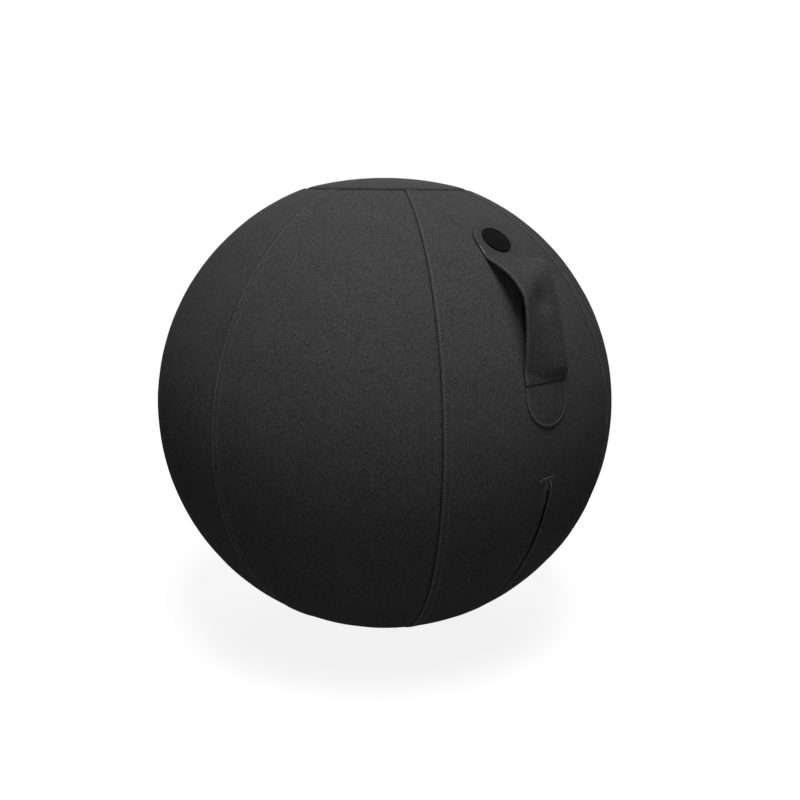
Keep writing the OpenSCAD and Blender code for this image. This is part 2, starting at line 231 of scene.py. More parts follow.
@dataclass(frozen=True)
class WovenCloth(Finish):
    """Cloth woven of spun polyester yarn: each thread has its own shade, and the crossings catch light."""

    thread: float
    weave: Weave = Weave.TWILL
    roughness: float = 0.88
    sheen: float = 0.006
    relief: float = 0.14
    gloss: float = 0.004
    sheen_roughness: float = 0.45
    rough_swing: float = 0.08
    yarn_run: float = 2.2
    yarn_spread: Trio = (0.3, 0.7, 0.86)
    yarn_height: float = 0.9
    lane_step: float = 3.71
    lane_seeds: Pair = (0.5, 40.5)
    cloud_scale: float = 11.0
    cloud: float = 0.12
    worn_and_painted_light_share: float = 0.5
    deepest: float = -0.1
    strength: float = 0.75

    def paint(self, tree: Tree, shader: Node) -> None:
        """Weave the threads on the cut's own flat coordinates."""
        place = add(tree, "UVMap", uv_map=CUT)
        threads = add(tree, "VectorMath", {0: place, 1: (1 / (self.thread * MM),) * 3}, operation="MULTIPLY")
        across, along = add(tree, "SeparateXYZ", {0: threads}).outputs[:2]
        warp, weft = (add(tree, "Math", {0: line}, operation="FLOOR") for line in (across, along))
        repeat, on_top = self.weave.value
        step = add(tree, "Math", {0: warp, 1: weft}, operation="ADD")
        turn = add(tree, "Math", {0: step, 1: float(repeat)}, operation="FLOORED_MODULO")
        warp_up = add(tree, "Math", {0: turn, 1: on_top - 0.5}, operation="LESS_THAN")
        pairs = []
        for own, side, other, seed in zip((warp, weft), (across, along), (along, across), self.lane_seeds):
            lane = add(tree, "Math", {0: own, 1: self.lane_step}, operation="MULTIPLY")
            run = add(tree, "Math", {0: other, 1: self.yarn_run}, operation="DIVIDE")
            spot = add(tree, "CombineXYZ", {0: lane, 1: run, 2: seed})
            yarn = add(tree, "TexNoise", {"Vector": spot, "Scale": 1.0, "Detail": 2.0, "Roughness": 0.6})
            part = add(tree, "Math", {0: side}, operation="FRACT")
            half_turn = add(tree, "Math", {0: part, 1: math.pi}, operation="MULTIPLY")
            pairs.append((yarn, add(tree, "Math", {0: half_turn}, operation="SINE")))
        shade, back = (add(tree, "Mix", {0: warp_up, 2: weft_part, 3: warp_part}, data_type="FLOAT")
                       for warp_part, weft_part in zip(*pairs))
        own_place = add(tree, "TexCoord").outputs["Object"]
        cloud = add(tree, "TexNoise", {"Vector": own_place, "Scale": self.cloud_scale, "Detail": 3.0})
        # The attribute lightens the cloth where it is rubbed, and carries painted light: painted highlights on the
        # strap's hem and fold and on the zip tab's legs, and painted shade in the seam folds, at the slit's stitch, in
        # the strap's valley and on the tab's bar.
        worn_and_painted_light = add(tree, "Attribute", attribute_name=WORN_AND_PAINTED_LIGHT).outputs["Fac"]
        low, high, most = self.yarn_spread
        spread = add(tree, "MapRange", {0: shade, 1: low, 2: high, 3: 0.0, 4: most})
        clouded = add(tree, "Math", {0: cloud, 1: self.cloud, 2: spread}, operation="MULTIPLY_ADD")
        rubbed = add(tree, "Math", {0: worn_and_painted_light, 1: self.worn_and_painted_light_share, 2: clouded}, operation="MULTIPLY_ADD")
        share = add(tree, "Math", {0: rubbed, 1: self.deepest}, operation="MAXIMUM")
        rough = add(tree, "MapRange", {0: shade, 1: 0.2, 2: 0.8, 3: self.roughness + self.rough_swing,
                                       4: self.roughness - self.rough_swing})
        height = add(tree, "Math", {0: shade, 1: self.yarn_height, 2: back}, operation="MULTIPLY_ADD")
        lift = add(tree, "Bump", {"Height": height, "Strength": self.strength, "Distance": self.relief * MM})
        feed(shader, {"Sheen Weight": self.sheen, "Sheen Roughness": self.sheen_roughness,
                      "Specular IOR Level": self.gloss, "Base Color": self.colour(tree, share), "Roughness": rough,
                      "Normal": lift})


@dataclass(frozen=True)
class Moulded(Finish):
    """Moulded rubber, vinyl or plastic: one body colour with faint flow clouds and a fine moulded grain."""

    grain: float
    roughness: float
    ior: float = 1.5
    relief: float = 0.02
    coat: float = 0.0
    gloss: float = 0.5
    cloud_scale: float = 60.0
    rough_swing: Pair = (-0.06, 0.08)
    strength: float = 0.5

    def paint(self, tree: Tree, shader: Node) -> None:
        """Paint the body colour, its rubbed places and its grain."""
        place = add(tree, "TexCoord").outputs["Object"]
        grain = add(tree, "TexNoise", {"Vector": place, "Scale": 1 / (self.grain * MM), "Detail": 2.0})
        cloud = add(tree, "TexNoise", {"Vector": place, "Scale": self.cloud_scale, "Detail": 4.0})
        share = add(tree, "MapRange", {0: cloud, 1: 0.35, 2: 0.75, 3: 0.0, 4: 1.0})
        low, high = (self.roughness + swing for swing in self.rough_swing)
        rough = add(tree, "MapRange", {0: cloud, 1: 0.3, 2: 0.7, 3: low, 4: high})
        lift = add(tree, "Bump", {"Height": grain, "Strength": self.strength, "Distance": self.relief * MM})
        feed(shader, {"IOR": self.ior, "Coat Weight": self.coat, "Specular IOR Level": self.gloss,
                      "Base Color": self.colour(tree, share), "Roughness": rough, "Normal": lift})


@dataclass(frozen=True)
class SewingThread(Finish):
    """Twisted filament polyester thread: slanting plies that glint a little more than the cloth."""

    ply: float = 0.5
    relief: float = 0.1
    roughness: float = 0.55
    sheen: float = 0.2
    strength: float = 0.4

    def paint(self, tree: Tree, shader: Node) -> None:
        """Paint the slanting plies."""
        place = add(tree, "TexCoord").outputs["Object"]
        plies = add(tree, "TexWave", {"Vector": place, "Scale": 1 / (self.ply * MM) / 3.2, "Distortion": 1.5,
                                      "Detail": 1.0}, bands_direction="DIAGONAL").outputs["Fac"]
        lift = add(tree, "Bump", {"Height": plies, "Strength": self.strength, "Distance": self.relief * MM})
        feed(shader, {"Sheen Weight": self.sheen, "Roughness": self.roughness,
                      "Base Color": self.colour(tree, plies), "Normal": lift})


# Melange yarn mixes dark and light fibres, so the twill has a fine grey grain from near and reads as charcoal from
# afar. Its threads are 0.6 mm apart in the real cloth, and drawn 0.9 mm apart so that they show in the render.
MELANGE_TWILL = WovenCloth("melange_polyester_twill_woven", Slot.COVER, "#2a2a2a", "#5c5c5c", 0.9)
# The strap's cloth is the same melange twill, painted a shade darker as painted shade for the strap's face turned from
# the light.
HANDLE_TWILL_PAINTED_SHADE = WovenCloth("melange_polyester_twill_painted_darker", Slot.COVER, "#272727", "#575757", 0.9)
# Piece-dyed cloth, webbing and tape have one colour, so they look flatter and darker than the melange.
DARK_TWILL = WovenCloth("polyester_twill_piece_dyed", Slot.SEAM, "#1c1c1c", "#3a3a3a", 0.9, sheen=0.03)
STRAP_WEBBING = WovenCloth("polypropylene_webbing_woven", Slot.WEBBING, "#141414", "#2e2e2e", 1.6, Weave.PLAIN,
                           sheen=0.03, relief=0.3)
ZIP_TAPE = WovenCloth("polyester_zip_tape_woven", Slot.TAPE, "#121212", "#292929", 0.7, Weave.PLAIN, sheen=0.03)
# The folded tape is painted lighter than the cover round it, a painted highlight for its fine plain weave and rubbed
# edges catching more light.
BINDING_TAPE = WovenCloth("polyester_tape_folded", Slot.COVER, "#383838", "#686868", 0.5, Weave.PLAIN, relief=0.08)
# Matt and slightly rubbed, so that the badge shows as a deep soft black against the cloth.
BADGE_RUBBER = Moulded("soft_rubber_injection_moulded", Slot.BADGE, "#050505", "#090909", 0.35, 0.6, 1.52, gloss=0.025)
# Acetal comes out of the mould slick, with a tight small glint on each tooth.
TOOTH_ACETAL = Moulded("acetal_injection_moulded", Slot.TEETH, "#0d0d0d", "#171717", 0.3, 0.42, 1.48, gloss=0.15)
# Lacquer over die-cast zinc: a coloured skin with a clear gloss over it.
LACQUERED_ZINC = Moulded("zinc_die_cast_lacquered", Slot.METAL, "#0c0c0c", "#1a1a1a", 0.5, 0.34, 1.5, 0.02, 0.25, 0.3)
# Vinyl film is welded and inflated, smooth with a broad satin light.
BLADDER_VINYL = Moulded("vinyl_film_welded", Slot.BLADDER, "#85878b", "#94969a", 0.9, 0.36, 1.54)
# Polyethylene is waxy and pale.
PLUG_POLYTHENE = Moulded("polyethylene_injection_moulded", Slot.PLUG, "#dcdbd3", "#e6e5de", 0.6, 0.4, 1.51)
# Filament thread is smooth, so each stitch glints a little against the dull cloth.
COVER_THREAD = SewingThread("polyester_thread_twisted", Slot.COVER, "#333333", "#666666")
SEAM_THREAD = SewingThread("polyester_thread_seam_twisted", Slot.COVER, "#3c3c3c", "#767676")
# The tack that holds the strap's edge is sewn with a pale thread, which shows as a short light line.
TACK_THREAD = SewingThread("polyester_thread_pale_twisted", Slot.COVER, "#8a8a8a", "#b8b8b8")


# Making pieces


def meshed(name: str, form: Mesh) -> bpy.types.Mesh:
    """Turn a form to a mesh. The form is used up."""
    mesh = bpy.data.meshes.new(name)
    form.to_mesh(mesh)
    form.free()
    return mesh


def placed(name: str, data: bpy.types.ID) -> bpy.types.Object:
    """Put a mesh, a lamp or a camera into the scene."""
    made = bpy.data.objects.new(name, data)
    bpy.context.scene.collection.objects.link(made)
    return made


def dressed(name: str, form: Mesh, look: Finish, hides: Iterable[str] = (), body: str = "ball",
            sharp: float | None = None) -> bpy.types.Object:
    """Turn a finished form into a dressed piece that rides on a body.

    Args:
        name: The piece's name.
        form: Its mesh, in metres and in place. It is used up.
        look: Its finish.
        hides: The CAD nodes that it stands for.
        body: The body that it rides on.
        sharp: The angle in degrees past which an edge stays sharp, or none.

    Returns:
        The piece.
    """
    bmesh.ops.recalc_face_normals(form, faces=form.faces[:])
    mesh = meshed(name, form)
    mesh.polygons.foreach_set("use_smooth", [True] * len(mesh.polygons))
    if sharp is not None:
        mesh.set_sharp_from_angle(angle=math.radians(sharp))
    mesh.materials.append(look.material())
    piece = placed(name, mesh)
    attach(piece, body)
    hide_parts(*hides)
    LOG.info("%s: %d faces, %s", name, len(mesh.polygons), look.name)
    return piece


def moved(form: Mesh, matrix: Matrix) -> Mesh:
    """Move, turn or scale a whole form."""
    bmesh.ops.transform(form, matrix=matrix, verts=form.verts[:])
    return form


def raised(form: Mesh, faces: list[bmesh.types.BMFace], height: float) -> None:
    """Give faces that lie flat a thickness, upwards."""
    grown = bmesh.ops.extrude_face_region(form, geom=faces, use_keep_orig=True)["geom"]
    bmesh.ops.translate(form, vec=(0, 0, height), verts=[v for v in grown if isinstance(v, bmesh.types.BMVert)])


def flat_laid(form: Mesh, flat: Callable[[Vector], Pair]) -> Mesh:
    """Lay a form's flat coordinates by each point's place.

    Args:
        form: The form.
        flat: Gives a place's coordinates on the flat cut, in metres.

    Returns:
        The same form.
    """
    cut = form.loops.layers.uv.new(CUT)
    for face in form.faces:
        for corner in face.loops:
            corner[cut].uv = flat(corner.vert.co)
    return form


def wrapped(columns: int, rows: int, place: Place, flat: Callable[[int, int], Pair],
            wear_and_painted_light: Callable[[int, int], float], cut_out: Callable[[float, float], bool] | None = None) -> Mesh:
    """Cut a flat grid of cloth, give it its thickness and wrap it into place.

    Args:
        columns: Steps across the cut.
        rows: Steps along the cut.
        place: Gives a grid point's place in metres, for the outer side and for the inner side.
        flat: Gives a grid point's place on the flat cut, in metres.
        wear_and_painted_light: Gives a grid point's share of rubbing, painted highlight and painted shade, from 0 to 1.
        cut_out: Says whether the face about a point of the grid is cut away.

    Returns:
        The closed form.
    """
    form = bmesh.new()
    bmesh.ops.create_grid(form, x_segments=columns, y_segments=rows, size=1)
    moved(form, Matrix.Diagonal((columns / 2, rows / 2, 1, 1)) @ Matrix.Translation((1, 1, 0)))
    if cut_out:
        gone = [f for f in form.faces if cut_out(*f.calc_center_median()[:2])]
        bmesh.ops.delete(form, geom=gone, context="FACES")
    raised(form, form.faces[:], 1)
    flat_laid(form, lambda co: flat(round(co.x), round(co.y)))
    worn_and_painted_light = form.verts.layers.float.new(WORN_AND_PAINTED_LIGHT)
    for vert in form.verts:
        i, j, top = round(vert.co.x), round(vert.co.y), vert.co.z > 0.5
        vert[worn_and_painted_light] = wear_and_painted_light(i, j) if top else 0.0
        vert.co = place(i, j, top)
    bmesh.ops.remove_doubles(form, verts=form.verts[:], dist=WELD)
    return form


def spun(points: Iterable[Trio], steps: int, closed: bool = True, angle: float = math.tau,
         centre: Iterable[float] = (0, 0, 0), axis: tuple[int, int, int] = (0, 0, 1)) -> Mesh:
    """Turn a line of points about an axis. A full turn is welded shut, and a shorter one gets its ends filled.

    Args:
        points: The points, in order, in millimetres.
        steps: Steps in the turn.
        closed: Whether the last point joins the first.
        angle: The turn's angle.
        centre: A place on the axis, in metres.
        axis: The axis.

    Returns:
        The form, in metres.
    """
    form = bmesh.new()
    verts = [form.verts.new(Vector(p) * MM) for p in points]
    pairs = list(zip(verts, verts[1:])) + ([(verts[-1], verts[0])] if closed else [])
    edges = [form.edges.new(pair) for pair in pairs]
    whole = angle == math.tau
    bmesh.ops.spin(form, geom=verts + edges, cent=centre, axis=axis, angle=angle, steps=steps, use_merge=whole)
    if whole:
        bmesh.ops.remove_doubles(form, verts=form.verts[:], dist=WELD)
    else:
        bmesh.ops.holes_fill(form, edges=[e for e in form.edges if e.is_boundary], sides=0)
    return form


def joined(form: Mesh, part: Mesh) -> None:
    """Add a part to a form. The part is used up."""
    mesh = meshed("part", part)
    form.from_mesh(mesh)
    bpy.data.meshes.remove(mesh)


def plate(form: Mesh, outline: list[Pair], low: float, high: float) -> None:
    """Add a plate with an outline, between two heights, to a form, in millimetres.

    Args:
        form: The form that the plate is added to.
        outline: The outline's points.
        low: The plate's underside.
        high: The plate's upper side.
    """
    raised(form, [form.faces.new([form.verts.new((x, y, low)) for x, y in outline])], high - low)


def block(form: Mesh, low: Trio, high: Trio) -> None:
    """Add a block between two corners, in millimetres, to a form."""
    middle = [(a + b) / 2 for a, b in zip(low, high)]
    size = [b - a for a, b in zip(low, high)]
    bmesh.ops.create_cube(form, size=1, matrix=Matrix.Translation(middle) @ Matrix.Diagonal((*size, 1)))


def softened(form: Mesh, width: float, segments: int = 1, sharp: float = 30.0) -> Mesh:
    """Round a form's edges past a sharp angle in degrees by a width in millimetres."""
    edges = [e for e in form.edges if e.is_manifold and e.calc_face_angle() > math.radians(sharp)]
    bmesh.ops.bevel(form, geom=edges, offset=width, offset_type="OFFSET", affect="EDGES", segments=segments,
                    profile=0.5, material=-1, clamp_overlap=True)
    return form


def sway(below: float, bow: float = 1.0, rise: Pair = (12, 24),
         fall: Pair = (60, 140), bend: float = 3.6, bend_end: float = 8.5) -> float:
    """How far right of the zip's line the slit runs, at a distance below its upper end, in millimetres.

    It never strays so far that the slider's pull, lifted through the slit, would meet a lip.

    Args:
        below: The distance below the slit's upper end.
        bow: How far it bows out to the right.
        rise: From where to where the bow grows.
        fall: From where to where it goes back.
        bend: How far its upper end bends to the left.
        bend_end: Where the bend is over.

    Returns:
        The distance.
    """
    return bow * eased(*rise, below) * (1 - eased(*fall, below)) - bend * (1 - eased(0, bend_end, below))


@dataclass(frozen=True)
class Ball:
    """The ball's sizes in millimetres and angles in degrees, as the frame has them."""

    radius: float = 325.0
    lining: float = 323.0
    centre_z: float = 320.312
    panels: int = 7
    seam_turn: float = -0.9
    end_angle: float = 20.0
    cloth: float = 2.0
    crown_radius: float = 430.4
    crown_z: float = -110.4

    @property
    def centre(self) -> Vector:
        """The ball's centre, in metres."""
        return Vector((0, 0, self.centre_z)) * MM

    @property
    def panel_angle(self) -> float:
        """Turn angle of one long panel."""
        return 360 / self.panels

    @property
    def end_height(self) -> float:
        """Height angle of the long panels' ends."""
        return 90 - self.end_angle

    @property
    def seam_reach(self) -> float:
        """Radius of the round panels' seams."""
        return self.radius * math.sin(math.radians(self.end_angle))

    def spot(self, turn: float, height: float, radius: float) -> Vector:
        """Find a place by its turn and height angles and its distance from the ball's centre.

        Args:
            turn: The turn angle.
            height: The height angle.
            radius: The distance from the centre, in millimetres.

        Returns:
            The place, in metres.
        """
        a, h = math.radians(turn), math.radians(height)
        flat = radius * math.cos(h)
        return Vector((flat * math.sin(a), -flat * math.cos(a), radius * math.sin(h) + self.centre_z)) * MM

    def arc(self, length: float) -> float:
        """Angle that a length along the cover takes."""
        return math.degrees(length / self.radius)

    def run(self, angle: float) -> float:
        """Length along the cover that an angle takes."""
        return math.radians(angle) * self.radius

    def seam(self, index: int) -> float:
        """Turn angle of a long seam."""
        return self.seam_turn + (index - 0.5) * self.panel_angle

    def outward(self, place: Vector) -> Vector:
        """The way out of the ball at a place."""
        return (place - self.centre).normalized()

    def girth(self, height: float) -> float:
        """Distance from the ball's upright axis at a height angle."""
        return self.radius * math.cos(math.radians(height))

    def front(self, height: float, radius: float = 0.0) -> Matrix:
        """Frame at a place in front of the ball, in millimetres: +Z outward and +Y up along the cover.

        Args:
            height: The height angle.
            radius: The distance from the ball's centre.

        Returns:
            The matrix that puts a form there.
        """
        turn = Matrix.Rotation(math.radians(90 - height), 4, "X")
        return Matrix.Translation((0, 0, self.centre_z)) @ turn @ Matrix.Translation((0, 0, radius))


@dataclass(frozen=True)
class StitchRun:
    """Rows of single stitches, each a small bead of thread half sunk in the cloth."""

    pitch: float = 3.3
    length: float = 2.6
    thread: float = 0.55
    sides: int = 6
    rings: int = 4

    def sewn(self, name: str, line: list[Vector], normal: Callable[[Vector], Vector],
             look: Finish = COVER_THREAD) -> None:
        """Sew stitches along a line of places.

        Args:
            name: The piece's name.
            line: Close places along the line, in metres.
            normal: Gives the way out of the cloth at a place.
            look: The thread's finish.
        """
        form = bmesh.new()
        size = Matrix.Diagonal((self.length / 2 * MM, self.thread / 2 * MM, self.thread / 2 * MM, 1))
        bead = size @ Matrix.Rotation(math.pi / 2, 4, "Y")
        for spot, way in self.spaced(line):
            side = normal(spot).cross(way).normalized()
            turn = Matrix((way, side, way.cross(side))).transposed().to_4x4()
            stitch = bmesh.new()
            bmesh.ops.create_uvsphere(stitch, u_segments=self.sides, v_segments=self.rings, radius=1,
                                      matrix=Matrix.Translation(spot) @ turn @ bead)
            joined(form, stitch)
        dressed(name, form, look)

    def spaced(self, line: list[Vector]) -> Iterable[tuple[Vector, Vector]]:
        """Walk along a line and stop at each stitch.

        Args:
            line: Close places along the line, in metres.

        Yields:
            Each stitch's middle, and the way that it runs.
        """
        left = self.pitch / 2 * MM
        for here, there in zip(line, line[1:]):
            step = there - here
            length = step.length
            if length < 1e-9:
                continue
            while left <= length:
                yield here + step * (left / length), step / length
                left += self.pitch * MM
            left -= length


@dataclass
class Cover:
    """The nine cloth panels of the cover and the stitching beside their seams."""

    ball: Ball
    seam_gap: float = 0.3
    seam_depth: Pair = (0.5, 1.2)
    seam_round: float = 0.9
    # Painted shade darkens the cloth in the folds beside the long seams and beside the round panels' seams.
    seam_painted_shade: float = 0.7
    seam_ridge: Trio = (0.35, 2.6, 1.3)
    end_depth: float = 1.8
    end_round: float = 2.2
    end_painted_shade: float = 1.5
    least_cloth: float = 0.15
    allowance: float = 12.2
    allowance_swell: float = 0.8
    stitch_rows: Pair = (3.2, 10.8)
    stitch_depth: float = 0.5
    stitch_width: float = 0.9
    stitch_rise: float = 0.12
    stitch_reach: float = 0.993
    stitch_places: int = 400
    pucker: float = 0.3
    pucker_run: float = 13.0
    pucker_reach: Pair = (9.0, 12.0)
    ease: float = 0.35
    ease_run: float = 110.0
    slit: float = 5.8
    slit_foot: float = 4.4
    slit_high: float = -6.024
    slit_low: float = -65.963
    slit_close: float = 4.0
    slit_end: float = 0.3
    slit_taper: float = 13.5
    slit_top: float = 0.7
    slit_narrows: Pair = (50, 180)
    flare: Pair = (5.0, 1.8)
    flare_narrows: float = 13.0
    flare_run: float = 19.0
    flare_fade: float = 5.0
    flare_rise: float = 0.5
    flare_light: float = 0.9
    lip_stitch: float = 5.0
    lip_width: float = 0.8
    lip_roll: float = 1.0
    lip_swell: float = 0.4
    lip_swell_end: Pair = (7, 9)
    lip_ridge: Trio = (0.4, 2.6, 1.4)
    # Painted shade darkens the cloth at the stitch beside the slit's lips.
    lip_painted_shade: float = 0.8
    box_top: float = 7.8
    row_step: float = 0.7
    plain_steps: int = 26
    round_steps: int = 168
    round_rings: int = 18
    slit_rows: tuple[float, ...] = (0, 0.4, 1, 2, 3, 4)
    flare_rows: tuple[float, ...] = (6.5, 9, 11.5, 14, 16.5, 19)
    outer_rows: tuple[float, ...] = (1, 3)
    stitched_edge: tuple[float, ...] = (0, 0.3, 0.7, 1.2, 1.8, 2.3, 2.7, 3, 3.4, 3.7, 4.1, 4.8, 6.2, 8.2, 9.6, 10.2,
                                        10.6, 11, 11.5, 12.2, 13.2, 14.6)
    plain_edge: tuple[float, ...] = (0, 0.3, 0.7, 1.2, 1.9, 3, 5, 8, 12)
    lip_edge: tuple[float, ...] = (0, 0.3, 0.7, 1.3, 2.2, 3.4, 4.3, 4.7, 5, 5.3, 5.8, 6.8, 8, 9.5, 12)
    long_stitch: StitchRun = StitchRun(pitch=4.4, length=2.7, thread=0.6)
    fine_stitch: StitchRun = StitchRun(pitch=4.4, length=2.4, thread=0.42)

    def build(self) -> None:
        """Make all panels and their stitching."""
        for index in range(self.ball.panels):
            self.long_panel(index, f"side_panel_{index}" if index else "front_panel")
        self.round_panel("top_panel", True)
        self.round_panel("base_panel", False)
        for index in range(self.ball.panels):
            self.topstitch(index)
        self.slit_stitch()

    def wear_and_painted_light(self, from_stitched: float, from_plain: float, from_end: float) -> float:
        """How the cloth's colour shifts by its seams: lighter where rubbed on the stitched ridge, and below zero in the
        folds, as painted shade.

        Args:
            from_stitched: The distance from the seam with the folded allowance.
            from_plain: The distance from the other long seam.
            from_end: The distance from a round panel's seam.

        Returns:
            The share.
        """
        share, middle, width = self.seam_ridge
        painted_shade = self.seam_painted_shade * math.exp(-min(from_stitched, from_plain) / self.seam_round)
        return share * bump(from_stitched - middle, width) - painted_shade - self.end_painted_shade * math.exp(-from_end / self.end_round)

    def end_fold(self, distance: float) -> float:
        """How far the cloth turns in beside a round panel's seam, at a distance from it."""
        return -self.end_depth * math.exp(-distance / self.end_round)

    def wave(self, along: float, seed: float) -> float:
        """Height of the small puckers that a seam's thread draws, from -1 to 1."""
        return noise(Vector((along / self.pucker_run, seed, 0.3))) + 0.5 * noise(
            Vector((along / self.pucker_run * 2.3, seed, 7.1)))

    def seam_side(self, from_seam: float, along: float, seed: float, stitched: bool) -> float:
        """Height over the plain ball beside a long seam, in millimetres.

        Args:
            from_seam: The distance from the seam.
            along: The place along the seam.
            seed: Which seam it is.
            stitched: Whether this side has the folded allowance and the topstitch.

        Returns:
            The height.
        """
        height = self.pucker * self.wave(along, seed) * math.exp(-from_seam / self.pucker_reach[0])
        height -= self.seam_depth[stitched] * math.exp(-from_seam / self.seam_round)
        if stitched:
            height += self.allowance_swell * (1 - eased(self.allowance - 1, self.allowance + 1.6, from_seam))
            height -= self.stitch_depth * sum(bump(from_seam - row, self.stitch_width) for row in self.stitch_rows)
        return height

    def slit_half(self, height: float) -> float:
        """Half the slit's opening at a height angle."""
        share = clamped(self.ball.run(height - self.slit_low) / self.slit_close)
        below = max(0.0, self.under_top(height))
        wide = self.slit + (self.slit_foot - self.slit) * eased(*self.slit_narrows, below)
        half = max(self.slit_end, wide / 2 * math.sqrt(share))
        return min(half, self.slit_top + (self.slit / 2 - self.slit_top) * below / self.slit_taper)

    def under_top(self, height: float) -> float:
        """Distance of a height below the slit's upper end, along the cover."""
        return self.ball.run(self.slit_high - height)

    def flared(self, from_lip: float, height: float) -> float:
        """Share of the light flared lip beside the slit's upper end, from 0 to 1."""
        below = self.under_top(height)
        if below < -2 or below > self.flare_run:
            return 0.0
        wide = self.flare[0] + (self.flare[1] - self.flare[0]) * eased(0, self.flare_narrows, below)
        fading = eased(self.flare_run - self.flare_fade, self.flare_run, below)
        return (1 - eased(wide - 1, wide + 0.6, from_lip)) * (1 - fading)

    def slit_wear_and_painted_shade(self, from_lip: float, height: float) -> float:
        """How the cloth's colour shifts beside the slit: lighter where rubbed on the flare and the lip's ridge, and
        darker at its stitch, as painted shade.
        """
        window = 1 - eased(self.slit_high - 1, self.slit_high, height)
        share, middle, width = self.lip_ridge
        ridge = share * bump(from_lip - middle, width)
        ridge -= self.lip_painted_shade * bump(from_lip - self.lip_stitch, self.lip_width)
        return self.flare_light * self.flared(from_lip, height) + window * ridge

    def slit_side(self, from_lip: float, height: float) -> float:
        """Height over the plain ball beside the zip's slit.

        Args:
            from_lip: The distance from the lip.
            height: The height angle.

        Returns:
            The height, in millimetres.
        """
        edge = self.ball.arc(self.lip_edge[-2])
        window = eased(self.slit_low - edge, self.slit_low, height) * (
            1 - eased(self.slit_high, self.slit_high + edge, height))
        lip = self.lip_swell * (1 - eased(*self.lip_swell_end, from_lip))
        lip -= self.lip_roll * math.exp(-from_lip / self.lip_width)
        lip -= self.stitch_depth * bump(from_lip - self.lip_stitch, self.lip_width)
        return lip * window + self.flare_rise * self.flared(from_lip, height)

    def rows(self, with_slit: bool) -> list[float]:
        """Height angles of a long panel's rows.

        Args:
            with_slit: Whether the rows stop at the slit's ends too.

        Returns:
            The height angles, from the lower end up.
        """
        top, arc = self.ball.end_height, self.ball.arc
        fine = [top - arc(d) for d in self.plain_edge]
        fixed = fine + [-h for h in fine]
        if with_slit:
            fixed += [self.slit_high - arc(d) for d in self.slit_rows + self.flare_rows]
            fixed += [self.slit_low + arc(d) for d in self.slit_rows]
            fixed += [self.slit_high + arc(d) for d in self.outer_rows]
            fixed += [self.slit_low - arc(d) for d in self.outer_rows]
        inner = evenly(-top, top, round(2 * top / self.row_step))[1:-1]
        return sorted(fixed + [h for h in inner if min(abs(h - f) for f in fixed) > 0.4 * self.row_step])

    def columns(self, width: float, slit_at: float | None, half: float) -> list[float]:
        """Distances of a row's points from the stitched seam.

        Args:
            width: The row's whole width.
            slit_at: The slit's middle, or none.
            half: Half the slit's opening.

        Returns:
            The distances, in millimetres.
        """
        left = list(self.stitched_edge)
        right = [width - d for d in reversed(self.plain_edge)]
        if slit_at is None:
            return left[:-1] + evenly(left[-1], right[0], self.plain_steps) + right[1:]
        lips = [slit_at - half - d for d in reversed(self.lip_edge)] + [slit_at + half + d for d in self.lip_edge]
        each = self.plain_steps // 2
        return left[:-1] + evenly(left[-1], lips[0], each) + lips[1:-1] + evenly(lips[-1], right[0], each) + right[1:]

    def long_panel(self, index: int, name: str) -> None:
        """Make one long panel.

        Args:
            index: Its number, from the front panel on.
            name: Its name, which is also the name of the node that it replaces.
        """
        ball, start, has_slit = self.ball, self.ball.seam(index), index == 0
        rows, grid = self.rows(has_slit), []
        for height in rows:
            girth = ball.girth(height)
            width = math.radians(ball.panel_angle) * girth - self.seam_gap
            slit_at = None
            if has_slit:
                slit_at = -math.radians(start) * girth - self.seam_gap / 2 + sway(self.under_top(height))
            half = self.slit_half(height)
            row = []
            for from_seam in self.columns(width, slit_at, half):
                turn = start + math.degrees((from_seam + self.seam_gap / 2) / girth)
                along, from_end = ball.run(height), ball.run(ball.end_height - abs(height))
                high = self.seam_side(from_seam, along, index, True)
                high += self.seam_side(width - from_seam, along, (index + 1) % ball.panels, False)
                high += self.end_fold(from_end)
                worn_and_painted_light = self.wear_and_painted_light(from_seam, width - from_seam, from_end)
                if has_slit:
                    from_lip = abs(from_seam - slit_at) - half
                    high += self.slit_side(from_lip, height)
                    worn_and_painted_light += self.slit_wear_and_painted_shade(from_lip, height)
                high += self.ease * noise(ball.spot(turn, height, 1 / MM) * (1 / MM / self.ease_run))
                row.append((turn, ball.radius + max(high, self.least_cloth - ball.cloth), from_seam - width / 2, worn_and_painted_light))
            grid.append(row)
        gap = len(self.stitched_edge) + self.plain_steps // 2 - 1 + len(self.lip_edge) - 1

        def in_slit(x: float, y: float) -> bool:
            """Whether a face of the grid lies in the slit."""
            height = rows[int(y)] + (rows[int(y) + 1] - rows[int(y)]) / 2
            return has_slit and gap < x < gap + 1 and self.slit_low < height < self.slit_high

        form = wrapped(
            len(grid[0]) - 1, len(rows) - 1,
            lambda i, j, top: ball.spot(grid[j][i][0], rows[j], grid[j][i][1] if top else ball.lining),
            lambda i, j: (grid[j][i][2] * MM, ball.run(rows[j]) * MM), lambda i, j: grid[j][i][3], in_slit)
        piece = dressed(name + "_cloth", form, MELANGE_TWILL, (name,))
        length, wide = 2 * ball.run(ball.end_height) * MM, ball.run(ball.panel_angle) * MM

    def round_panel(self, node: str, crown: bool) -> None:
        """Make one of the two round panels.

        Args:
            node: The node that it replaces.
            crown: Whether it is the upper one.
        """
        ball = self.ball
        reach = ball.seam_reach - self.seam_gap / 2
        outs = [reach - d for d in self.plain_edge]
        outs += [outs[-1] * (1 - i / self.round_rings) for i in range(1, self.round_rings + 1)]

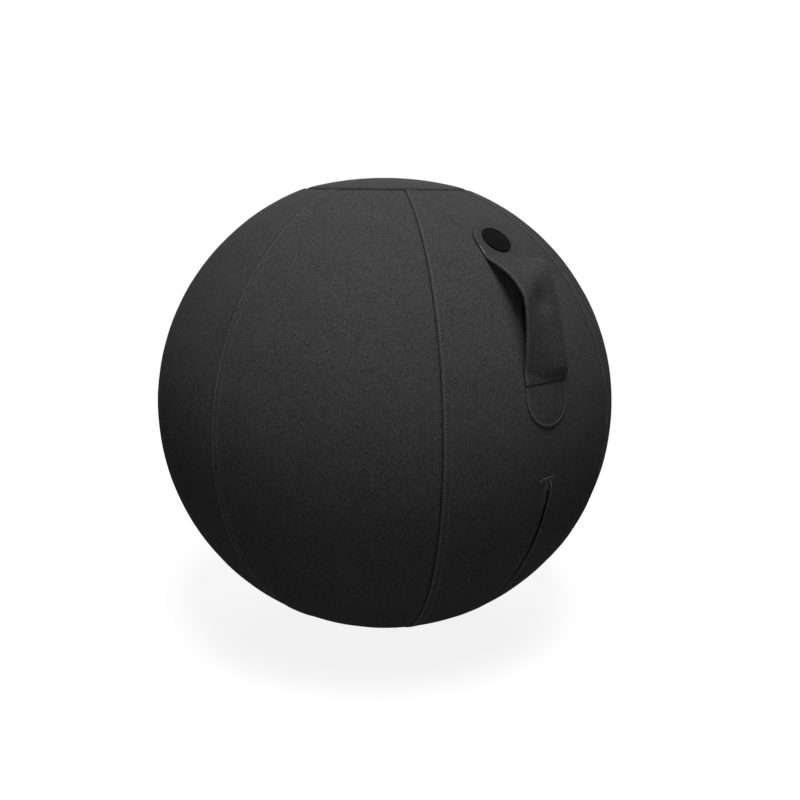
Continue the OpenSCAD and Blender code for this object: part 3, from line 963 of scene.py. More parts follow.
        def skin(out: float, inner: bool) -> Trio:
            """Point of the panel's section, at a distance from the upright axis."""
            inward = ball.cloth if inner else -self.end_fold(reach - out)
            if crown:
                full = ball.crown_radius - inward
                return out, 0, ball.crown_z + math.sqrt(full * full - out * out) + ball.centre_z
            full = ball.radius - inward
            return out, 0, max(ball.centre_z - math.sqrt(full * full - out * out), ball.cloth if inner else 0)

        form = spun([skin(out, False) for out in outs] + [skin(out, True) for out in reversed(outs)], self.round_steps)
        spare = [f for f in form.faces if all(math.hypot(*v.co[:2]) < WELD for v in f.verts)]
        bmesh.ops.delete(form, geom=spare, context="FACES")
        worn_and_painted_light = form.verts.layers.float.new(WORN_AND_PAINTED_LIGHT)
        for vert in form.verts:
            out = math.hypot(*vert.co[:2]) / MM
            turn = math.atan2(vert.co.x, -vert.co.y)
            vert[worn_and_painted_light] = self.wear_and_painted_light(reach, reach, reach - out)
            if crown and vert.co.z > skin(out, True)[2] * MM + 0.2 * MM:
                fading = math.exp(-(reach - out) / self.pucker_reach[1])
                vert.co.z += self.pucker * self.wave(turn * reach, 31.0) * fading * MM
        flat_laid(form, lambda co: (co.x, co.y))
        piece = dressed(node + "_cloth", form, MELANGE_TWILL, (node,))

    def topstitch(self, index: int) -> None:
        """Sew the two rows of stitches beside one long seam: the near one on its ridge, and a finer far one.

        Args:
            index: The seam's number.
        """
        ball, start, top = self.ball, self.ball.seam(index), self.ball.end_height * self.stitch_reach
        near, far = self.stitch_rows
        for name, from_seam, run, look in (("topstitch", near, self.long_stitch, SEAM_THREAD),
                                           ("allowance_stitch", far, self.fine_stitch, COVER_THREAD)):
            line = []
            for step in range(self.stitch_places + 1):
                height = top * (1 - 2 * step / self.stitch_places)
                high = self.seam_side(from_seam, ball.run(height), index, True)
                turn = start + math.degrees((from_seam + self.seam_gap / 2) / ball.girth(height))
                line.append(ball.spot(turn, height, ball.radius + high + self.stitch_rise))
            run.sewn(f"{name}_{index}", line, ball.outward, look)

    def slit_stitch(self) -> None:
        """Sew the long box of stitches round the zip's slit."""
        ball = self.ball
        out = self.slit / 2 + self.lip_stitch
        low, high = self.slit_low - ball.arc(self.lip_stitch), self.slit_high + ball.arc(self.box_top)
        corners = [(-out, high), (-out, low), (out, low), (out, high)]
        line = []
        for (x0, h0), (x1, h1) in zip(corners, corners[1:]):
            steps = max(8, round(abs(h1 - h0) / 0.5))
            for x, h in zip(evenly(x0, x1, steps)[:-1], evenly(h0, h1, steps)):
                line.append(ball.spot(math.degrees(x / ball.girth(h)), h, ball.radius + 0.05))
        StitchRun(pitch=3.0, length=2.3).sewn("zip_box_topstitch", line, ball.outward)


@dataclass
class StrapHandle:
    """The strap handle: two cloths over a webbing, sewn to the cover at both ends, with the badge on it."""

    ball: Ball
    width: float = 62.0
    tab_width: float = 68.0
    lean: float = -6.0
    badge_height: float = 48.6
    loop_top: float = 44.898
    bend: float = 34.7
    bend_slant: float = 7.0
    foot: float = 15.6
    foot_slant: float = 5.0
    foot_turn: float = 3.0
    pressed: float = 0.6
    press_run: float = 0.3
    tab_centre: float = 12.094
    rise: float = 27.0
    flatness: float = 0.8
    blend: float = 0.06
    cross_stitch: float = 15.1
    loop_start: Pair = (0.08, 0.6)
    belly: float = 2.6
    belly_fall: Pair = (19, 28)
    dent: float = 5.8
    dent_at: Pair = (31.4, 0.05)
    dent_size: Pair = (2.6, 0.44)
    loose_length: float = 12.0
    valley: float = 1.0
    valley_width: float = 0.8
    # Painted highlights on the strap's hem and on the tab's upper fold, and painted shade in the valley at the cross
    # stitch.
    hem_highlights: tuple[float, float, float, float] = (1.6, 0.5, 0.7, 0.3)
    hem_dims: Pair = (9.5, 13.5)
    hem_round: Pair = (1.2, 1.6)
    fold_highlight: float = 0.6
    valley_painted_shade: float = 1.1
    face: Pair = (2.34, 3.54)
    webbing: Pair = (1.42, 2.22)
    lining: Pair = (0.3, 1.3)
    webbing_margin: float = 5.0
    stitch_inset: float = 3.2
    stitch_sink: float = 0.4
    stitch_rise: float = 0.1
    tacks: Pair = (45.2, 47.2)
    tack_inset: float = 0.7
    tack_sink: float = 0.35
    end_rings: int = 26
    across: int = 44
    long_rows: int = 100
    cross_rows: tuple[float, ...] = (0.5, 0.3, 0.17, 0.08, 0, -0.08, -0.17, -0.3, -0.5)

    def down(self, height: float) -> float:
        """How far down the strap a height lies, from 0 at the badge to 1 at the sewn tab's centre."""
        return clamped((self.badge_height - height) / (self.badge_height - self.tab_centre))

    def half_width(self, height: float) -> float:
        """Half the strap's width at a height."""
        return (self.width + (self.tab_width - self.width) * self.down(height)) / 2

    def lift(self, height: float, side: float) -> float:
        """How far the strap stands off, from 0 where it is sewn to 1 at its bend."""
        bend = self.bend + self.bend_slant / 2 * side
        share = clamped((self.loop_top - height) / (self.loop_top - bend))
        left, right = self.loop_start
        start = left + (right - left) * (side + 1) / 2
        climb = math.sin(math.pi / 2 * (math.hypot(share, start) - start) / (math.hypot(1, start) - start))
        foot = self.foot - self.foot_slant / 2 * side
        fall = (height - foot) / (bend - foot)
        free = clamped((height - self.cross_stitch) / self.foot_turn)
        soft = -self.blend * math.log(math.exp(-climb / self.blend) + math.exp(-fall / self.blend))
        return free * (2 - free) * max(0.0, soft)

    def slack_at(self, height: float, side: float) -> float:
        """How far the loose strap bellies out on its right over the cross stitch, less its dip under the bend.

        Args:
            height: The height angle.
            side: The place across the strap, from -1 to 1.

        Returns:
            The extra distance from the ball, in millimetres.
        """
        rise = eased(self.cross_stitch, self.cross_stitch + self.foot_turn, height)
        rise *= 1 - eased(*self.belly_fall, height)
        (tall, wide), (middle, turn) = self.dent_size, self.dent_at
        dip = self.dent * bump(height - middle, tall) * bump(side - turn, wide)
        return self.belly * math.sqrt(max(0.0, side + 1) / 2) * rise - dip

    def spot(self, height: float, out: float, above: float) -> Vector:
        """Find a place on the strap.

        Args:
            height: The height angle.
            out: The distance from the strap's middle line, to its right.
            above: The distance over the cover, before the strap's lift.

        Returns:
            The place, in metres.
        """
        side = out / self.half_width(height)
        x = self.lean * self.down(height) + out
        lift = self.lift(height, side)
        loose = eased(self.cross_stitch - self.press_run, self.cross_stitch + self.press_run, height)
        above *= self.pressed + (1 - self.pressed) * loose
        r = self.ball.radius + above + self.rise * lift + self.slack_at(height, side)
        s = r - (1 - self.flatness * lift) * (r - math.sqrt(r * r - x * x))
        h = math.radians(height)
        return Vector((x, -s * math.cos(h), s * math.sin(h) + self.ball.centre_z)) * MM

    def rows(self, margin: float) -> list[Trio]:
        """Rows across the strap, from its upper round end to its lower one.

        Args:
            margin: How far inside the strap's outline they stay.

        Returns:
            Each row's height angle, half width, and its distance past an end's centre.
        """
        top, low = self.width / 2 - margin, self.tab_width / 2 - margin
        turns = evenly(0, math.pi / 2, self.end_rings)[:-1]
        near = [self.cross_stitch + d for d in self.cross_rows]
        even = evenly(self.badge_height, self.tab_centre, self.long_rows)
        clear = self.cross_rows[0] + 0.1
        heights = sorted([h for h in even if abs(h - self.cross_stitch) > clear] + near, reverse=True)
        rows = [(self.badge_height + self.ball.arc(top * math.cos(a)), top * math.sin(a), top * math.cos(a))
                for a in turns]
        rows += [(h, self.half_width(h) - margin, 0.0) for h in heights]
        return rows + [(self.tab_centre - self.ball.arc(low * math.cos(a)), low * math.sin(a), low * math.cos(a))
                       for a in reversed(turns)]

    def ply(self, margin: float, skin: Callable[[float, float, bool], float]) -> Mesh:
        """Make one ply of the strap.

        Args:
            margin: How far inside the strap's outline it stays.
            skin: Gives the height over the cover, from the distance to the ply's edge, the height angle, and
                whether it is the upper side.

        Returns:
            The form.
        """
        rows = self.rows(margin)
        sides = [math.sin(math.pi / 2 * (2 * i / self.across - 1)) for i in range(self.across + 1)]

        def from_edge(i: int, j: int) -> float:
            """Distance of a grid point from the ply's edge."""
            height, half, past = rows[j]
            full = self.half_width(height) - margin
            return max(0.0, full - math.hypot(half * sides[i], past)) if past else half * (1 - abs(sides[i]))

        def place(i: int, j: int, top: bool) -> Vector:
            """Place of a grid point."""
            height, half, _ = rows[j]
            return self.spot(height, half * sides[i], skin(from_edge(i, j), height, top))

        return wrapped(
            self.across, len(rows) - 1, place,
            lambda i, j: (rows[j][1] * sides[i] * MM, self.ball.run(rows[j][0]) * MM),
            lambda i, j: self.wear_and_painted_light(from_edge(i, j), rows[j][0]))

    def wear_and_painted_light(self, edge: float, height: float) -> float:
        """The strap's painted light: a painted highlight on its hem and on the tab's upper fold, and painted shade in
        the valley.
        """
        above = self.ball.run(height - self.cross_stitch)
        foot, tab, loop, top = self.hem_highlights
        hem = foot + (tab - foot) * eased(*self.hem_dims, height)
        if height > self.cross_stitch:
            hem = top if height > self.loop_top else loop
        return hem * bump(edge - 0.9, 0.9) + self.fold_highlight * bump(above + 1.7, 0.9) - self.valley_painted_shade * bump(
            above - 0.2, 0.9)

    def face_skin(self, edge: float, height: float, top: bool) -> float:
        """Height of the outer cloth over the cover: a folded hem, a sewn line beside it and the cross stitch."""
        low, high = self.face
        if not top:
            return low - 1.06 * (1 - eased(3.5, 4.9, edge))
        drop, reach = self.hem_round
        high -= drop * (1 - min(1.0, edge / reach)) ** 2
        high += 0.35 * bump(edge - 1.5, 0.9) - 0.3 * bump(edge - self.stitch_inset, 0.5)
        above = self.ball.run(height - self.cross_stitch)
        return high - self.valley * bump(above, self.valley_width)

    def lining_skin(self, edge: float, height: float, top: bool) -> float:
        """Height of the underside cloth over the cover."""
        low, high = self.lining
        return high if top else low + 0.35 * (1 - min(1.0, edge / 0.8)) ** 2

    def build(self) -> None:
        """Make the strap's plies, its stitching and the badge."""
        length = self.ball.run(self.badge_height - self.tab_centre) + (self.width + self.tab_width) / 2
        flat = (self.tab_width * MM, (length + self.loose_length) * MM)
        core_flat = tuple(side - 2 * self.webbing_margin * MM for side in flat)
        for name, node, margin, skin, look, cut in (
                ("handle_outer_cloth", "handle_face", 0, self.face_skin, HANDLE_TWILL_PAINTED_SHADE, flat),
                ("handle_under_cloth", "handle_lining", 0, self.lining_skin, HANDLE_TWILL_PAINTED_SHADE, flat),
                ("handle_webbing", "handle_core", self.webbing_margin, lambda e, h, top: self.webbing[top],
                 STRAP_WEBBING, core_flat)):
            piece = dressed(name, self.ply(margin, skin), look, (node,))
        self.stitches()
        self.badge()

    def inset_line(self, inset: float) -> list[Pair]:
        """Points round the strap, inside its edge: height angles and distances from its middle line."""
        top, low = self.width / 2 - inset, self.tab_width / 2 - inset
        arc, turns = self.ball.arc, evenly(0, math.pi, 60)
        heights = evenly(self.badge_height, self.tab_centre, 160)
        line = [(self.badge_height + arc(top * math.sin(a)), -top * math.cos(a)) for a in turns]
        line += [(h, self.half_width(h) - inset) for h in heights]
        line += [(self.tab_centre - arc(low * math.sin(a)), low * math.cos(a)) for a in turns]
        return line + [(h, inset - self.half_width(h)) for h in reversed(heights)]

    def stitches(self) -> None:
        """Sew the strap's edge, the line across it above the tab and the tack beside the badge."""
        top, inset = self.face[1], self.stitch_inset
        edge = [self.spot(h, x, top - self.stitch_sink + self.stitch_rise) for h, x in self.inset_line(inset)]
        half = self.half_width(self.cross_stitch) - inset
        cross = [self.spot(self.cross_stitch, half * (i / 30 - 1), top - self.valley + self.stitch_rise)
                 for i in range(61)]
        low, high = self.tacks
        tack = [self.spot(h, self.tack_inset - self.half_width(low), top - self.tack_sink)
                for h in evenly(low, high, 12)]

        def out_of(spot: Vector) -> Vector:
            """The way out of the cloth, by the strap's slope there."""
            away = spot - self.ball.centre
            height = math.degrees(math.asin(away.z / away.length))
            up = self.spot(height + 0.5, 0, 0) - self.spot(height - 0.5, 0, 0)
            return Vector((-0.6 * away.x / self.ball.radius / MM, up.z, -up.y)).normalized()

        StitchRun(pitch=2.8, length=2.2).sewn("handle_edge_topstitch", edge, out_of)
        StitchRun(pitch=2.6, length=2.1).sewn("handle_cross_stitch", cross, out_of)
        StitchRun(pitch=0.9, length=1.5, thread=0.8).sewn("handle_edge_tack", tack, out_of, TACK_THREAD)

    def badge(self, across: float = 40.0, low: float = 3.66, thick: float = 1.6, rim: float = 1.8,
              dish: float = 0.4) -> None:
        """Make the round badge, bare inside its rim.

        Args:
            across: Its diameter.
            low: Its underside's height over the cover.
            thick: Its thickness.
            rim: The rim's width.
            dish: How deep its face lies inside the rim.
        """
        out, flat_to = across / 2, across / 2 - rim - 0.4
        section = [(0, 0), (out - 0.5, 0), (out, 0.35), (out, thick - 0.45), (out - 0.13, thick - 0.13),
                   (out - 0.45, thick), (out - rim + 0.3, thick), (out - rim + 0.08, thick - 0.08),
                   (out - rim - 0.1, thick - dish + 0.06), (flat_to, thick - dish)]
        section += [(flat_to * (1 - i / 10), thick - dish + 0.12 * (i / 10)) for i in range(1, 11)]
        form = spun([(x, 0, z) for x, z in section], 96, closed=False)
        sag = 2 * (self.ball.radius + low) * MM
        for vert in form.verts:
            vert.co.z -= (vert.co.x ** 2 + vert.co.y ** 2) / sag
        put = Matrix.Scale(MM, 4) @ self.ball.front(self.badge_height, self.ball.radius + low) @ Matrix.Scale(1 / MM, 4)
        dressed("badge_disc", moved(form, put), BADGE_RUBBER, ("badge",), sharp=50)


@dataclass
class Zip:
    """The zip under the front panel's slit: tapes, teeth, stops, slider and pull."""

    ball: Ball
    high: float = -6.2
    low: float = -65.787
    chain: float = 318.4
    chain_high: float = -6.764
    chain_low: float = -65.223
    gap: float = 0.9
    tooth_length: float = 1.7
    tooth_pitch: float = 3.0
    tooth_share: float = 0.62
    tooth_height: float = 2.2
    tooth_round: float = 0.22
    cord: Trio = (0.35, 0.34, 0.75)
    stop_length: float = 2.6
    tape: float = 0.8
    tape_width: float = 15.0
    web: Pair = (5.6, 8.5)
    tape_top: float = 322.7
    tape_flat: float = 11.5
    slider_at: float = -7.804
    slider_half: float = 4.8
    slider_length: float = 11.0
    top_plate: float = 319.75
    low_plate: float = 315.85
    plate_thick: float = 1.2
    bridge_length: float = 7.2
    bridge_width: float = 2.0
    bridge_gap: float = 1.65
    pull_width: float = 3.6
    pull_thick: float = 1.1
    pull_length: float = 22.0
    pull_eye: float = 3.7
    blade_share: float = 0.72
    ribs: tuple[float, float, int] = (3.2, 1.5, 5)
    pull_bar_y: float = -1.5
    pull_bar: float = 321.775
    end_tab_height: float = -6.024
    end_tab: Trio = (24.0, 6.0, 0.9)
    end_tab_shift: float = -7.0
    end_tab_cut: float = 10.0
    hook: float = 3.6
    leg_from: float = 0.9
    leg_tuck: float = 1.6
    legs: tuple[tuple[int, float, float], ...] = ((-1, 9.0, 5.0), (1, 12.0, 5.8))

    def build(self) -> None:
        """Make all pieces of the zip."""
        for side, node in ((1, "zip_tape_right"), (-1, "zip_tape_left")):
            self.zip_tape(node, side)
        self.teeth("zip_teeth_right", 1, 0.0)
        self.teeth("zip_teeth_left", -1, 0.5)
        self.stops()
        self.slider()
        self.pull()
        self.top_tab()

    def put(self, form: Mesh, height: float, radius: float) -> Mesh:
        """Put a form drawn in millimetres at a height on the zip's line, in metres."""
        return moved(form, Matrix.Scale(MM, 4) @ self.ball.front(height, radius))

    def zip_tape(self, node: str, side: int) -> None:
        """Sweep one woven tape: sewn flat behind the cover, then turned in to the teeth.

        Args:
            node: The node that it replaces.
            side: 1 for the right-hand tape, -1 for the left-hand one.
        """
        edge = math.sqrt(self.tape_top ** 2 - self.tape_width ** 2)
        flat_at = math.sqrt(self.tape_top ** 2 - self.tape_flat ** 2)
        bend = math.sqrt(self.tape_top ** 2 - self.web[1] ** 2)
        inner = self.chain + self.tape / 2
        near = self.gap + self.tooth_length
        top = [(self.tape_width, edge), (self.tape_flat, flat_at), (self.web[1] + 0.6, bend),
               (self.web[1] - 0.5, bend - 0.35), (self.web[0] + 0.6, inner + 0.35), (self.web[0] - 0.3, inner),
               (near, inner)]
        section = top + [(x, r - self.tape) for x, r in reversed(top)]
        start, sweep = math.radians(self.low), math.radians(self.high - self.low)
        points = [(side * x, -r * math.cos(start), r * math.sin(start) + self.ball.centre_z) for x, r in section]
        form = spun(points, 150, angle=sweep, centre=self.ball.centre, axis=(-1, 0, 0))

        def flat(co: Vector) -> Pair:
            """Place on the flat tape."""
            return co.x, math.atan2(co.z - self.ball.centre.z, -co.y) * self.ball.radius * MM

        piece = dressed(node + "_woven", flat_laid(form, flat), ZIP_TAPE, (node,))
        wide = sum(math.dist(a, b) for a, b in zip(top, top[1:])) * MM

    def teeth(self, node: str, side: int, first: float) -> None:
        """Make one row of moulded teeth on its cord.

        Args:
            node: The node that it replaces.
            side: 1 for the right-hand row, -1 for the left-hand one.
            first: Where the first tooth stands, in steps.
        """
        step = math.degrees(self.tooth_pitch / self.chain)
        count = int((self.chain_high - self.chain_low - first * step) / step)
        half, height = self.tooth_pitch * self.tooth_share / 2, self.tooth_height / 2
        outline = [(self.gap, -half * 0.8), (self.gap + 0.5, -half), (self.gap + self.tooth_length, -half * 0.7),
                   (self.gap + self.tooth_length, half * 0.7), (self.gap + 0.5, half), (self.gap, half * 0.8)]
        outline = [(side * x, y) for x, y in outline]
        form = bmesh.new()
        for i in range(count):
            tooth = bmesh.new()
            plate(tooth, outline, -height, height)
            softened(tooth, self.tooth_round)
            self.put(tooth, self.chain_high - (first + i + 0.5) * step, self.chain)
            joined(form, tooth)
        joined(form, spun(self.cord_ring(side), 120, angle=math.radians(self.chain_high - self.chain_low),
                          centre=self.ball.centre, axis=(-1, 0, 0)))
        dressed(node + "_moulded", form, TOOTH_ACETAL, (node,), sharp=40)

    def cord_ring(self, side: int) -> list[Trio]:
        """Section of the cord that carries the teeth, at its lower end, in millimetres."""
        start = math.radians(self.chain_low)
        inset, wide, tall = self.cord
        middle = self.gap + self.tooth_length - inset
        ring = []
        for i in range(8):
            a = math.pi * (i + 0.5) / 4
            x, r = side * (middle + wide * math.cos(a)), self.chain + tall * math.sin(a)
            ring.append((x, -r * math.cos(start), r * math.sin(start) + self.ball.centre_z))
        return ring

    def stops(self) -> None:
        """Make the stops at both ends of the teeth."""
        tall, half = self.tooth_height / 2 + 0.2, self.stop_length / 2
        near, far = self.gap, self.gap + self.tooth_length
        for node, spans, height, width in (
                ("zip_top_stops", ((-far, -near), (near, far)), self.high - self.ball.arc(half), 0.35),
                ("zip_bottom_stop", ((-far, far),), self.low + self.ball.arc(half), 0.45)):
            form = bmesh.new()
            for left, right in spans:
                block(form, (left, -half, -tall), (right, half, tall))
            softened(form, width, 2)
            dressed(node + "_moulded", self.put(form, height, self.chain), TOOTH_ACETAL, (node,), sharp=40)

    def slider(self) -> None:
        """Make the slider: two shaped plates with side walls, the wedge between them and the bridge."""
        half, end = self.slider_half, self.slider_length / 2
        right = [(half * 0.72, -end), (half * 0.8, -end + 2.5), (half, 0.5), (half, end - 1.6), (half * 0.62, end),
                 (half * 0.2, end - 0.7)]
        outline = right + [(-x, y) for x, y in reversed(right)]
        top, low = self.top_plate - self.chain, self.low_plate - self.chain
        form = bmesh.new()
        for under in (top, low):
            plate(form, outline, under, under + self.plate_thick)
        for side in (-1, 1):
            inner, outer = sorted((side * (half - 0.8), side * half))
            block(form, (inner, 0.6, top - 0.62), (outer, end - 1.7, top + 0.1))
            block(form, (inner, 0.6, low + self.plate_thick - 0.1), (outer, end - 1.7, low + self.plate_thick + 0.62))
        plate(form, [(-0.2, end - 4.4), (0.2, end - 4.4), (0.5, end - 2.4), (0.5, end - 1.5), (-0.5, end - 1.5),
                     (-0.5, end - 2.4)], low + self.plate_thick - 0.1, top + 0.1)
        softened(form, 0.28, 2)
        joined(form, moved(self.bridge(), Matrix.Translation((0, 0, top + self.plate_thick))))
        dressed("zip_slider_cast", self.put(form, self.slider_at, self.chain), LACQUERED_ZINC, ("zip_slider",),
                "slider", 40)

    def bridge(self) -> Mesh:
        """Make the slider's bridge, a bent bar with rounded shoulders, in millimetres."""
        out, high, bar = self.bridge_length / 2, self.bridge_gap + 1.0, 1.0
        outer = [(-out, -0.1), (-out, high - 1.1), (-out + 0.35, high - 0.35), (-out + 1.1, high)]
        outer += [(-x, y) for x, y in reversed(outer)]
        inner = [(out - bar - 0.2, -0.1), (out - bar - 0.2, high - bar - 0.35), (out - bar - 0.55, high - bar)]
        inner += [(-x, y) for x, y in reversed(inner)]
        form = bmesh.new()
        plate(form, outer + inner, -self.bridge_width / 2, self.bridge_width / 2)
        softened(form, 0.2, 2)
        return moved(form, Matrix(((0, 0, 1, 0), (1, 0, 0, 0), (0, 1, 0, 0), (0, 0, 0, 1))))

    def pull(self) -> None:
        """Make the pull: a bar under the bridge, two arms and a blade with grip ribs."""
        half, thick = self.pull_width / 2, self.pull_thick / 2
        arm = (self.pull_width - self.bridge_width) / 2 - 0.25
        form = bmesh.new()
        bmesh.ops.create_cone(form, cap_ends=True, segments=16, radius1=thick, radius2=thick, depth=self.pull_width,
                              matrix=Matrix.Rotation(math.pi / 2, 4, "Y"))
        for side in (-1, 1):
            low, high = sorted((side * (half - arm), side * half))
            block(form, (low, -self.pull_eye - 0.5, -thick), (high, 0, thick))
        end = -self.pull_length
        tip = [(half * math.cos(a), end + half * (1 - math.sin(a))) for a in evenly(0, math.pi, 10)]
        outline = tip[::-1] + [(half, -self.pull_eye), (-half, -self.pull_eye)]
        plate(form, outline, -thick * self.blade_share, thick * self.blade_share)
        first, step, count = self.ribs
        for rib in range(count):
            y = end + first + step * rib
            block(form, (-half * 0.62, y - 0.3, -thick), (half * 0.62, y + 0.3, thick))
        softened(form, 0.18, 2)
        moved(form, Matrix.Translation((0, self.pull_bar_y, 0)))
        dressed("zip_pull_cast", self.put(form, self.slider_at, self.pull_bar), LACQUERED_ZINC, ("zip_pull",),
                "pull", 40)

    def top_tab(self) -> None:
        """Make the folded tape sewn across the zip's upper end: a rolled bar, and a leg on each side of the slit."""
        wide, tall, thick = self.end_tab
        ball, steps = self.ball, (36, 10)

        def laid(start: Pair, size: Callable[[float, float], Pair], low: float,
                 high: float, worn_and_painted_light: float, follow: int) -> Mesh:
            """Lay one strip of the tape.

            Args:
                start: Its place across and up, in millimetres from the slit's upper end.
                size: Gives a point's place from there, from its shares across and along.
                low: Its underside's height over the cover.
                high: Its thickness.
                worn_and_painted_light: How much lighter or darker it is painted: painted shade below 0, a painted
                    highlight above it.
                follow: 1 where it lies straight, 0 where it follows the slit.

            Returns:
                The form.
            """
            def place(i: int, j: int, top: bool) -> Vector:
                """Place of a grid point."""
                across, along = i / steps[0], j / steps[1]
                x, up = (a + b for a, b in zip(start, size(across, along)))
                x += sway(max(0.0, -up)) - sway(0) * follow
                roll = min(1.0, 10 * min(across, 1 - across)) * max(0.0, math.sin(math.pi * along)) ** 0.22
                height = self.end_tab_height + ball.arc(up)
                out = ball.radius + low + (high * (0.35 + 0.65 * roll) if top else 0)
                return ball.spot(math.degrees(x / ball.girth(height)), height, out)

            return wrapped(*steps, place, lambda i, j: tuple(MM * s for s in size(i / steps[0], j / steps[1])),
                           lambda i, j: worn_and_painted_light)

        # The bar is painted a shade darker, as painted shade, and the legs much lighter, as painted highlights.
        form = laid((self.end_tab_shift - wide / 2, 0.3), lambda u, v: (
            wide * u, (tall - 0.6) * (v + 0.25 * (v - 0.5) * (1 - eased(0, 0.3, u)))
            - self.hook * (1 - eased(0, 0.34, u))), 0.3, thick, -0.25, 1)
        for side, length, broad in self.legs:
            joined(form, laid((side * self.leg_from, self.leg_tuck - length), lambda u, v, s=side, n=length, b=broad: (
                s * v * (1.6 + (b - 1.6) * u) + s * 2.0 * (1 - u), n * u), 0.5, 0.6, 1.0, 0))
        piece = dressed("zip_end_tab_folded", form, BINDING_TAPE, ("zip_end_tab",))


@dataclass
class Inside:
    """What the cover hides: the bladder with its plug, the seam tapes and the two patches behind the strap."""

    ball: Ball
    low: float = 321.6
    high: float = 322.7
    tape: float = 14.0
    tape_end: float = 67.36
    ring: Pair = (20.0, 22.468)
    patch: float = 36.0
    patch_height: float = 48.6
    tab_patch: float = 39.0
    tab_patch_height: float = 12.094
    tab_patch_rise: float = 47.7
    lean: float = -6.0

    def build(self) -> None:
        """Dress the bladder and its plug, and make the hidden cloth."""
        for name, look in (("bladder", BLADDER_VINYL), ("valve_plug", PLUG_POLYTHENE)):
            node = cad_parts[name]
            node.data.materials.clear()
            node.data.materials.append(look.material())
            LOG.info("%s: frame node, %s", name, look.name)
        self.long_tapes()
        self.ring_tape("top_seam_binding", 1)
        self.ring_tape("base_seam_binding", -1)
        self.backing("handle_top_patch", self.patch_height, 0, self.patch, 0)
        self.backing("handle_tab_patch", self.tab_patch_height, self.lean, self.tab_patch, self.tab_patch_rise)

    def long_tapes(self) -> None:
        """Make the tapes of folded allowance behind the long seams, all cut from one length."""
        ball, columns, rows = self.ball, 4, 90
        form = bmesh.new()
        for index in range(ball.panels):
            seam = ball.seam(index)

            def height(j: int) -> float:
                """Height angle of a row."""
                return self.tape_end * (2 * j / rows - 1)

            def place(i: int, j: int, top: bool) -> Vector:
                """Place of a grid point of the tape."""
                turn = seam + math.degrees(self.tape * (i / columns - 0.5) / ball.girth(height(j)))
                return ball.spot(turn, height(j), self.high if top else self.low)

            joined(form, wrapped(columns, rows, place, lambda i, j: (
                self.tape * i / columns * MM, math.radians(height(j)) * self.high * MM), lambda i, j: 0.0))
        piece = dressed("long_seam_tapes", form, DARK_TWILL, ("long_seam_bindings",))

    def ring_tape(self, node: str, side: int) -> None:
        """Make the tape behind a round panel's seam.

        Args:
            node: The node that it replaces.
            side: 1 for the upper one, -1 for the lower one.
        """
        start, end = (math.radians(a) for a in self.ring)
        angles = evenly(start, end, 4)
        rim = [(self.high, a) for a in angles] + [(self.low, a) for a in reversed(angles)]
        points = [(r * math.sin(a), 0, self.ball.centre_z + side * r * math.cos(a)) for r, a in rim]
        form = flat_laid(spun(points, 144), lambda co: (co.x, co.y))
        piece = dressed(node + "_tape", form, DARK_TWILL, (node,))

    def backing(self, node: str, height: float, shift: float, radius: float, rise: float) -> None:
        """Make a patch behind one of the strap's sewn ends.

        Args:
            node: The node that it replaces.
            height: The height angle of its round part's centre.
            shift: How far right of the ball's middle its centre lies.
            radius: Its round part's radius.
            rise: How far its straight part goes up from the centre, or 0 for a round patch.
        """
        turns = evenly(0, math.pi / 2, 12)
        rows = [(-radius * math.cos(a), radius * math.sin(a)) for a in turns]
        rows += [(up, radius) for up in evenly(0, rise, 12)[1:]] if rise else [
            (radius * math.cos(a), radius * math.sin(a)) for a in reversed(turns[:-1])]
        put, across = self.ball.front(height), 16

        def flat(i: int, j: int) -> Pair:
            """Place of a grid point on the flat patch, in metres."""
            up, half = rows[j]
            return half * (2 * i / across - 1) * MM, up * MM

        def place(i: int, j: int, top: bool) -> Vector:
            """Place of a grid point."""
            x, up = (s / MM for s in flat(i, j))
            full = self.high if top else self.low
            return put @ Vector((x + shift, up, math.sqrt(full ** 2 - (x + shift) ** 2 - up ** 2))) * MM

        piece = dressed(node + "_cloth", wrapped(across, len(rows) - 1, place, flat, lambda i, j: 0.0), DARK_TWILL,
                        (node,))


# Light and camera


@dataclass(frozen=True)
class Lamp:
    """A square soft lamp: the way that it hangs in from the ball's centre, how far off, its side and its watts."""

    name: str
    way: Vector
    away: float
    size: float
    power: float


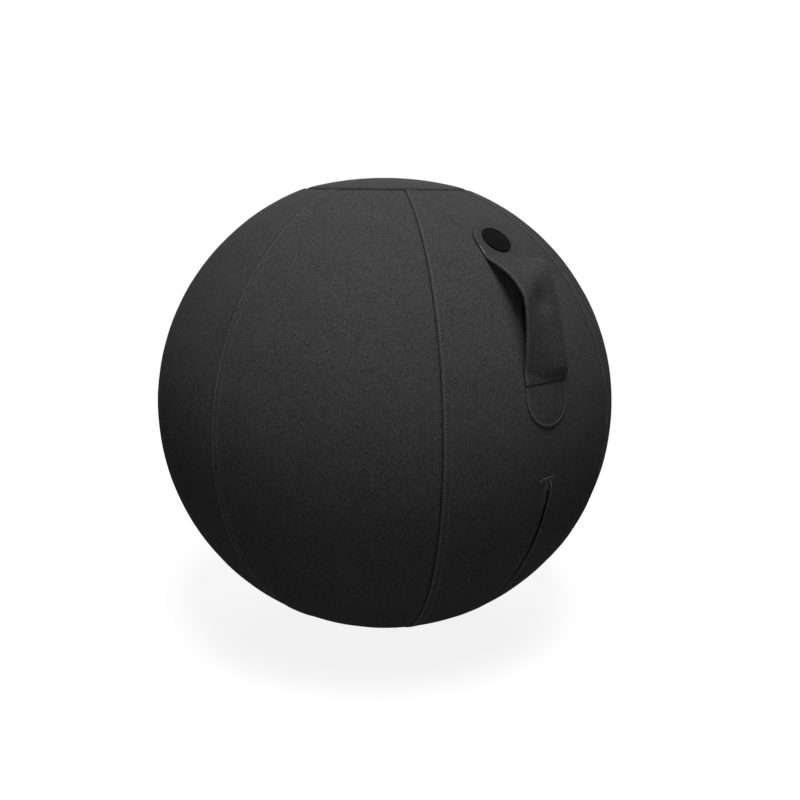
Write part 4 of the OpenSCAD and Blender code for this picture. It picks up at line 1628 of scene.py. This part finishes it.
@dataclass
class Studio:
    """A pale floor, a white background, three soft lamps, and the camera at the photograph's angle."""

    ball: Ball
    back: Vector = Vector((-0.6003, -0.7624, 0.2414))
    roll: float = 0.46
    distance: float = 3.96
    lens: float = 39.13
    shift: Pair = (0.019, 0.00125)
    key: Lamp = Lamp("key_softbox", Vector((-0.104, -0.228, 0.968)), 3.6, 1.7, 119.0)
    fill: Lamp = Lamp("fill_softbox", Vector((-0.618, -0.786, 0.02)), 3.6, 0.7, 16.0)
    rear: Lamp = Lamp("rear_softbox", Vector((0.600, 0.762, 0.42)), 3.4, 1.4, 32.0)
    ambient: float = 0.008
    floor_reach: float = 6.0
    floor_fade: Pair = (0.5, 1.3)
    floor_glow: float = 0.88

    def build(self) -> None:
        """Set up the whole studio."""
        bpy.context.scene.view_settings.view_transform = "Standard"
        self.camera()
        self.floor()
        self.world()
        for lamp in (self.key, self.fill, self.rear):
            self.hang(lamp)

    def camera(self) -> None:
        """Stand the camera where the photograph was taken from."""
        back = self.back.normalized()
        right = Vector((0, 0, 1)).cross(back).normalized()
        turn = Matrix((right, back.cross(right), back)).transposed()
        turn = Matrix.Rotation(math.radians(self.roll), 3, back) @ turn
        data = bpy.data.cameras.new("camera")
        data.lens, data.sensor_width = self.lens, 36
        data.shift_x, data.shift_y = self.shift
        camera = placed("camera", data)
        camera.matrix_world = Matrix.Translation(
            self.ball.centre + back * self.distance * self.ball.radius * MM) @ turn.to_4x4()
        bpy.context.scene.camera = camera

    def hang(self, lamp: Lamp) -> None:
        """Hang one soft lamp."""
        data = bpy.data.lights.new(lamp.name, "AREA")
        data.energy, data.size = lamp.power, lamp.size
        way = lamp.way.normalized()
        turn = way.to_track_quat("Z", "Y").to_matrix().to_4x4()
        placed(lamp.name, data).matrix_world = Matrix.Translation(self.ball.centre + way * lamp.away) @ turn

    def seen(self, tree: Tree) -> Node:
        """Tell whether a ray is one that shows the background: seen, reflected or let through.

        Args:
            tree: The node tree.

        Returns:
            The node that gives 1 for such a ray.
        """
        path = add(tree, "LightPath").outputs
        first = add(tree, "Math", {0: path["Is Camera Ray"], 1: path["Is Glossy Ray"]}, operation="MAXIMUM")
        return add(tree, "Math", {0: first, 1: path["Is Transmission Ray"]}, operation="MAXIMUM")

    def world(self) -> None:
        """Make the background white to the eye and dim to the cloth."""
        world = bpy.data.worlds.new("white_surround")
        bpy.context.scene.world = world
        tree = cleared(world)
        strength = add(tree, "MapRange", {0: self.seen(tree), 3: self.ambient, 4: 1.0})
        light = add(tree, "Background", {"Color": (1, 1, 1, 1), "Strength": strength})
        add(tree, "OutputWorld", {"Surface": light})

    def floor(self) -> None:
        """Lay the pale floor, which fades into the white background and keeps the ball's shadow."""
        form = bmesh.new()
        bmesh.ops.create_circle(form, cap_ends=True, segments=96, radius=self.floor_reach)
        floor = placed("floor", meshed("floor", form))
        look = bpy.data.materials.new("floor_paper_matt_white")
        tree = cleared(look)
        place = add(tree, "TexCoord").outputs["Object"]
        away = add(tree, "VectorMath", {0: place}, operation="LENGTH").outputs["Value"]
        far = add(tree, "MapRange", {0: away, 1: self.floor_fade[0], 2: self.floor_fade[1]})
        paper = add(tree, "BsdfDiffuse", {"Color": linear("#8e8e8d")})
        glow = add(tree, "Emission", {"Color": (1, 1, 1, 1), "Strength": self.floor_glow})
        white = add(tree, "Emission", {"Color": (1, 1, 1, 1), "Strength": 1.0})
        near_look = add(tree, "AddShader", {0: paper, 1: glow})
        eye_look = add(tree, "MixShader", {0: far, 1: near_look, 2: white})
        dull = add(tree, "BsdfDiffuse", {"Color": linear("#585858")})
        ray_look = add(tree, "MixShader", {0: self.seen(tree), 1: dull, 2: eye_look})
        add(tree, "OutputMaterial", {"Surface": ray_look})
        floor.data.materials.append(look)
        floor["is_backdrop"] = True


def corners(box: tuple[Vector, Vector]) -> list[list[float]]:
    """Turn two corners to plain lists of numbers."""
    return [list(corner) for corner in box]


def main() -> None:
    """Build every piece in order, then the studio."""
    logging.basicConfig(level=logging.INFO, format="%(message)s")
    before = corners(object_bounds())
    ball = Ball()
    Cover(ball).build()
    StrapHandle(ball).build()
    Zip(ball).build()
    Inside(ball).build()
    Studio(ball).build()
    bpy.context.view_layer.update()
    json.dumps({"cad": before, "visual": corners(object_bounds())})


if __name__ == "__main__":
    main()
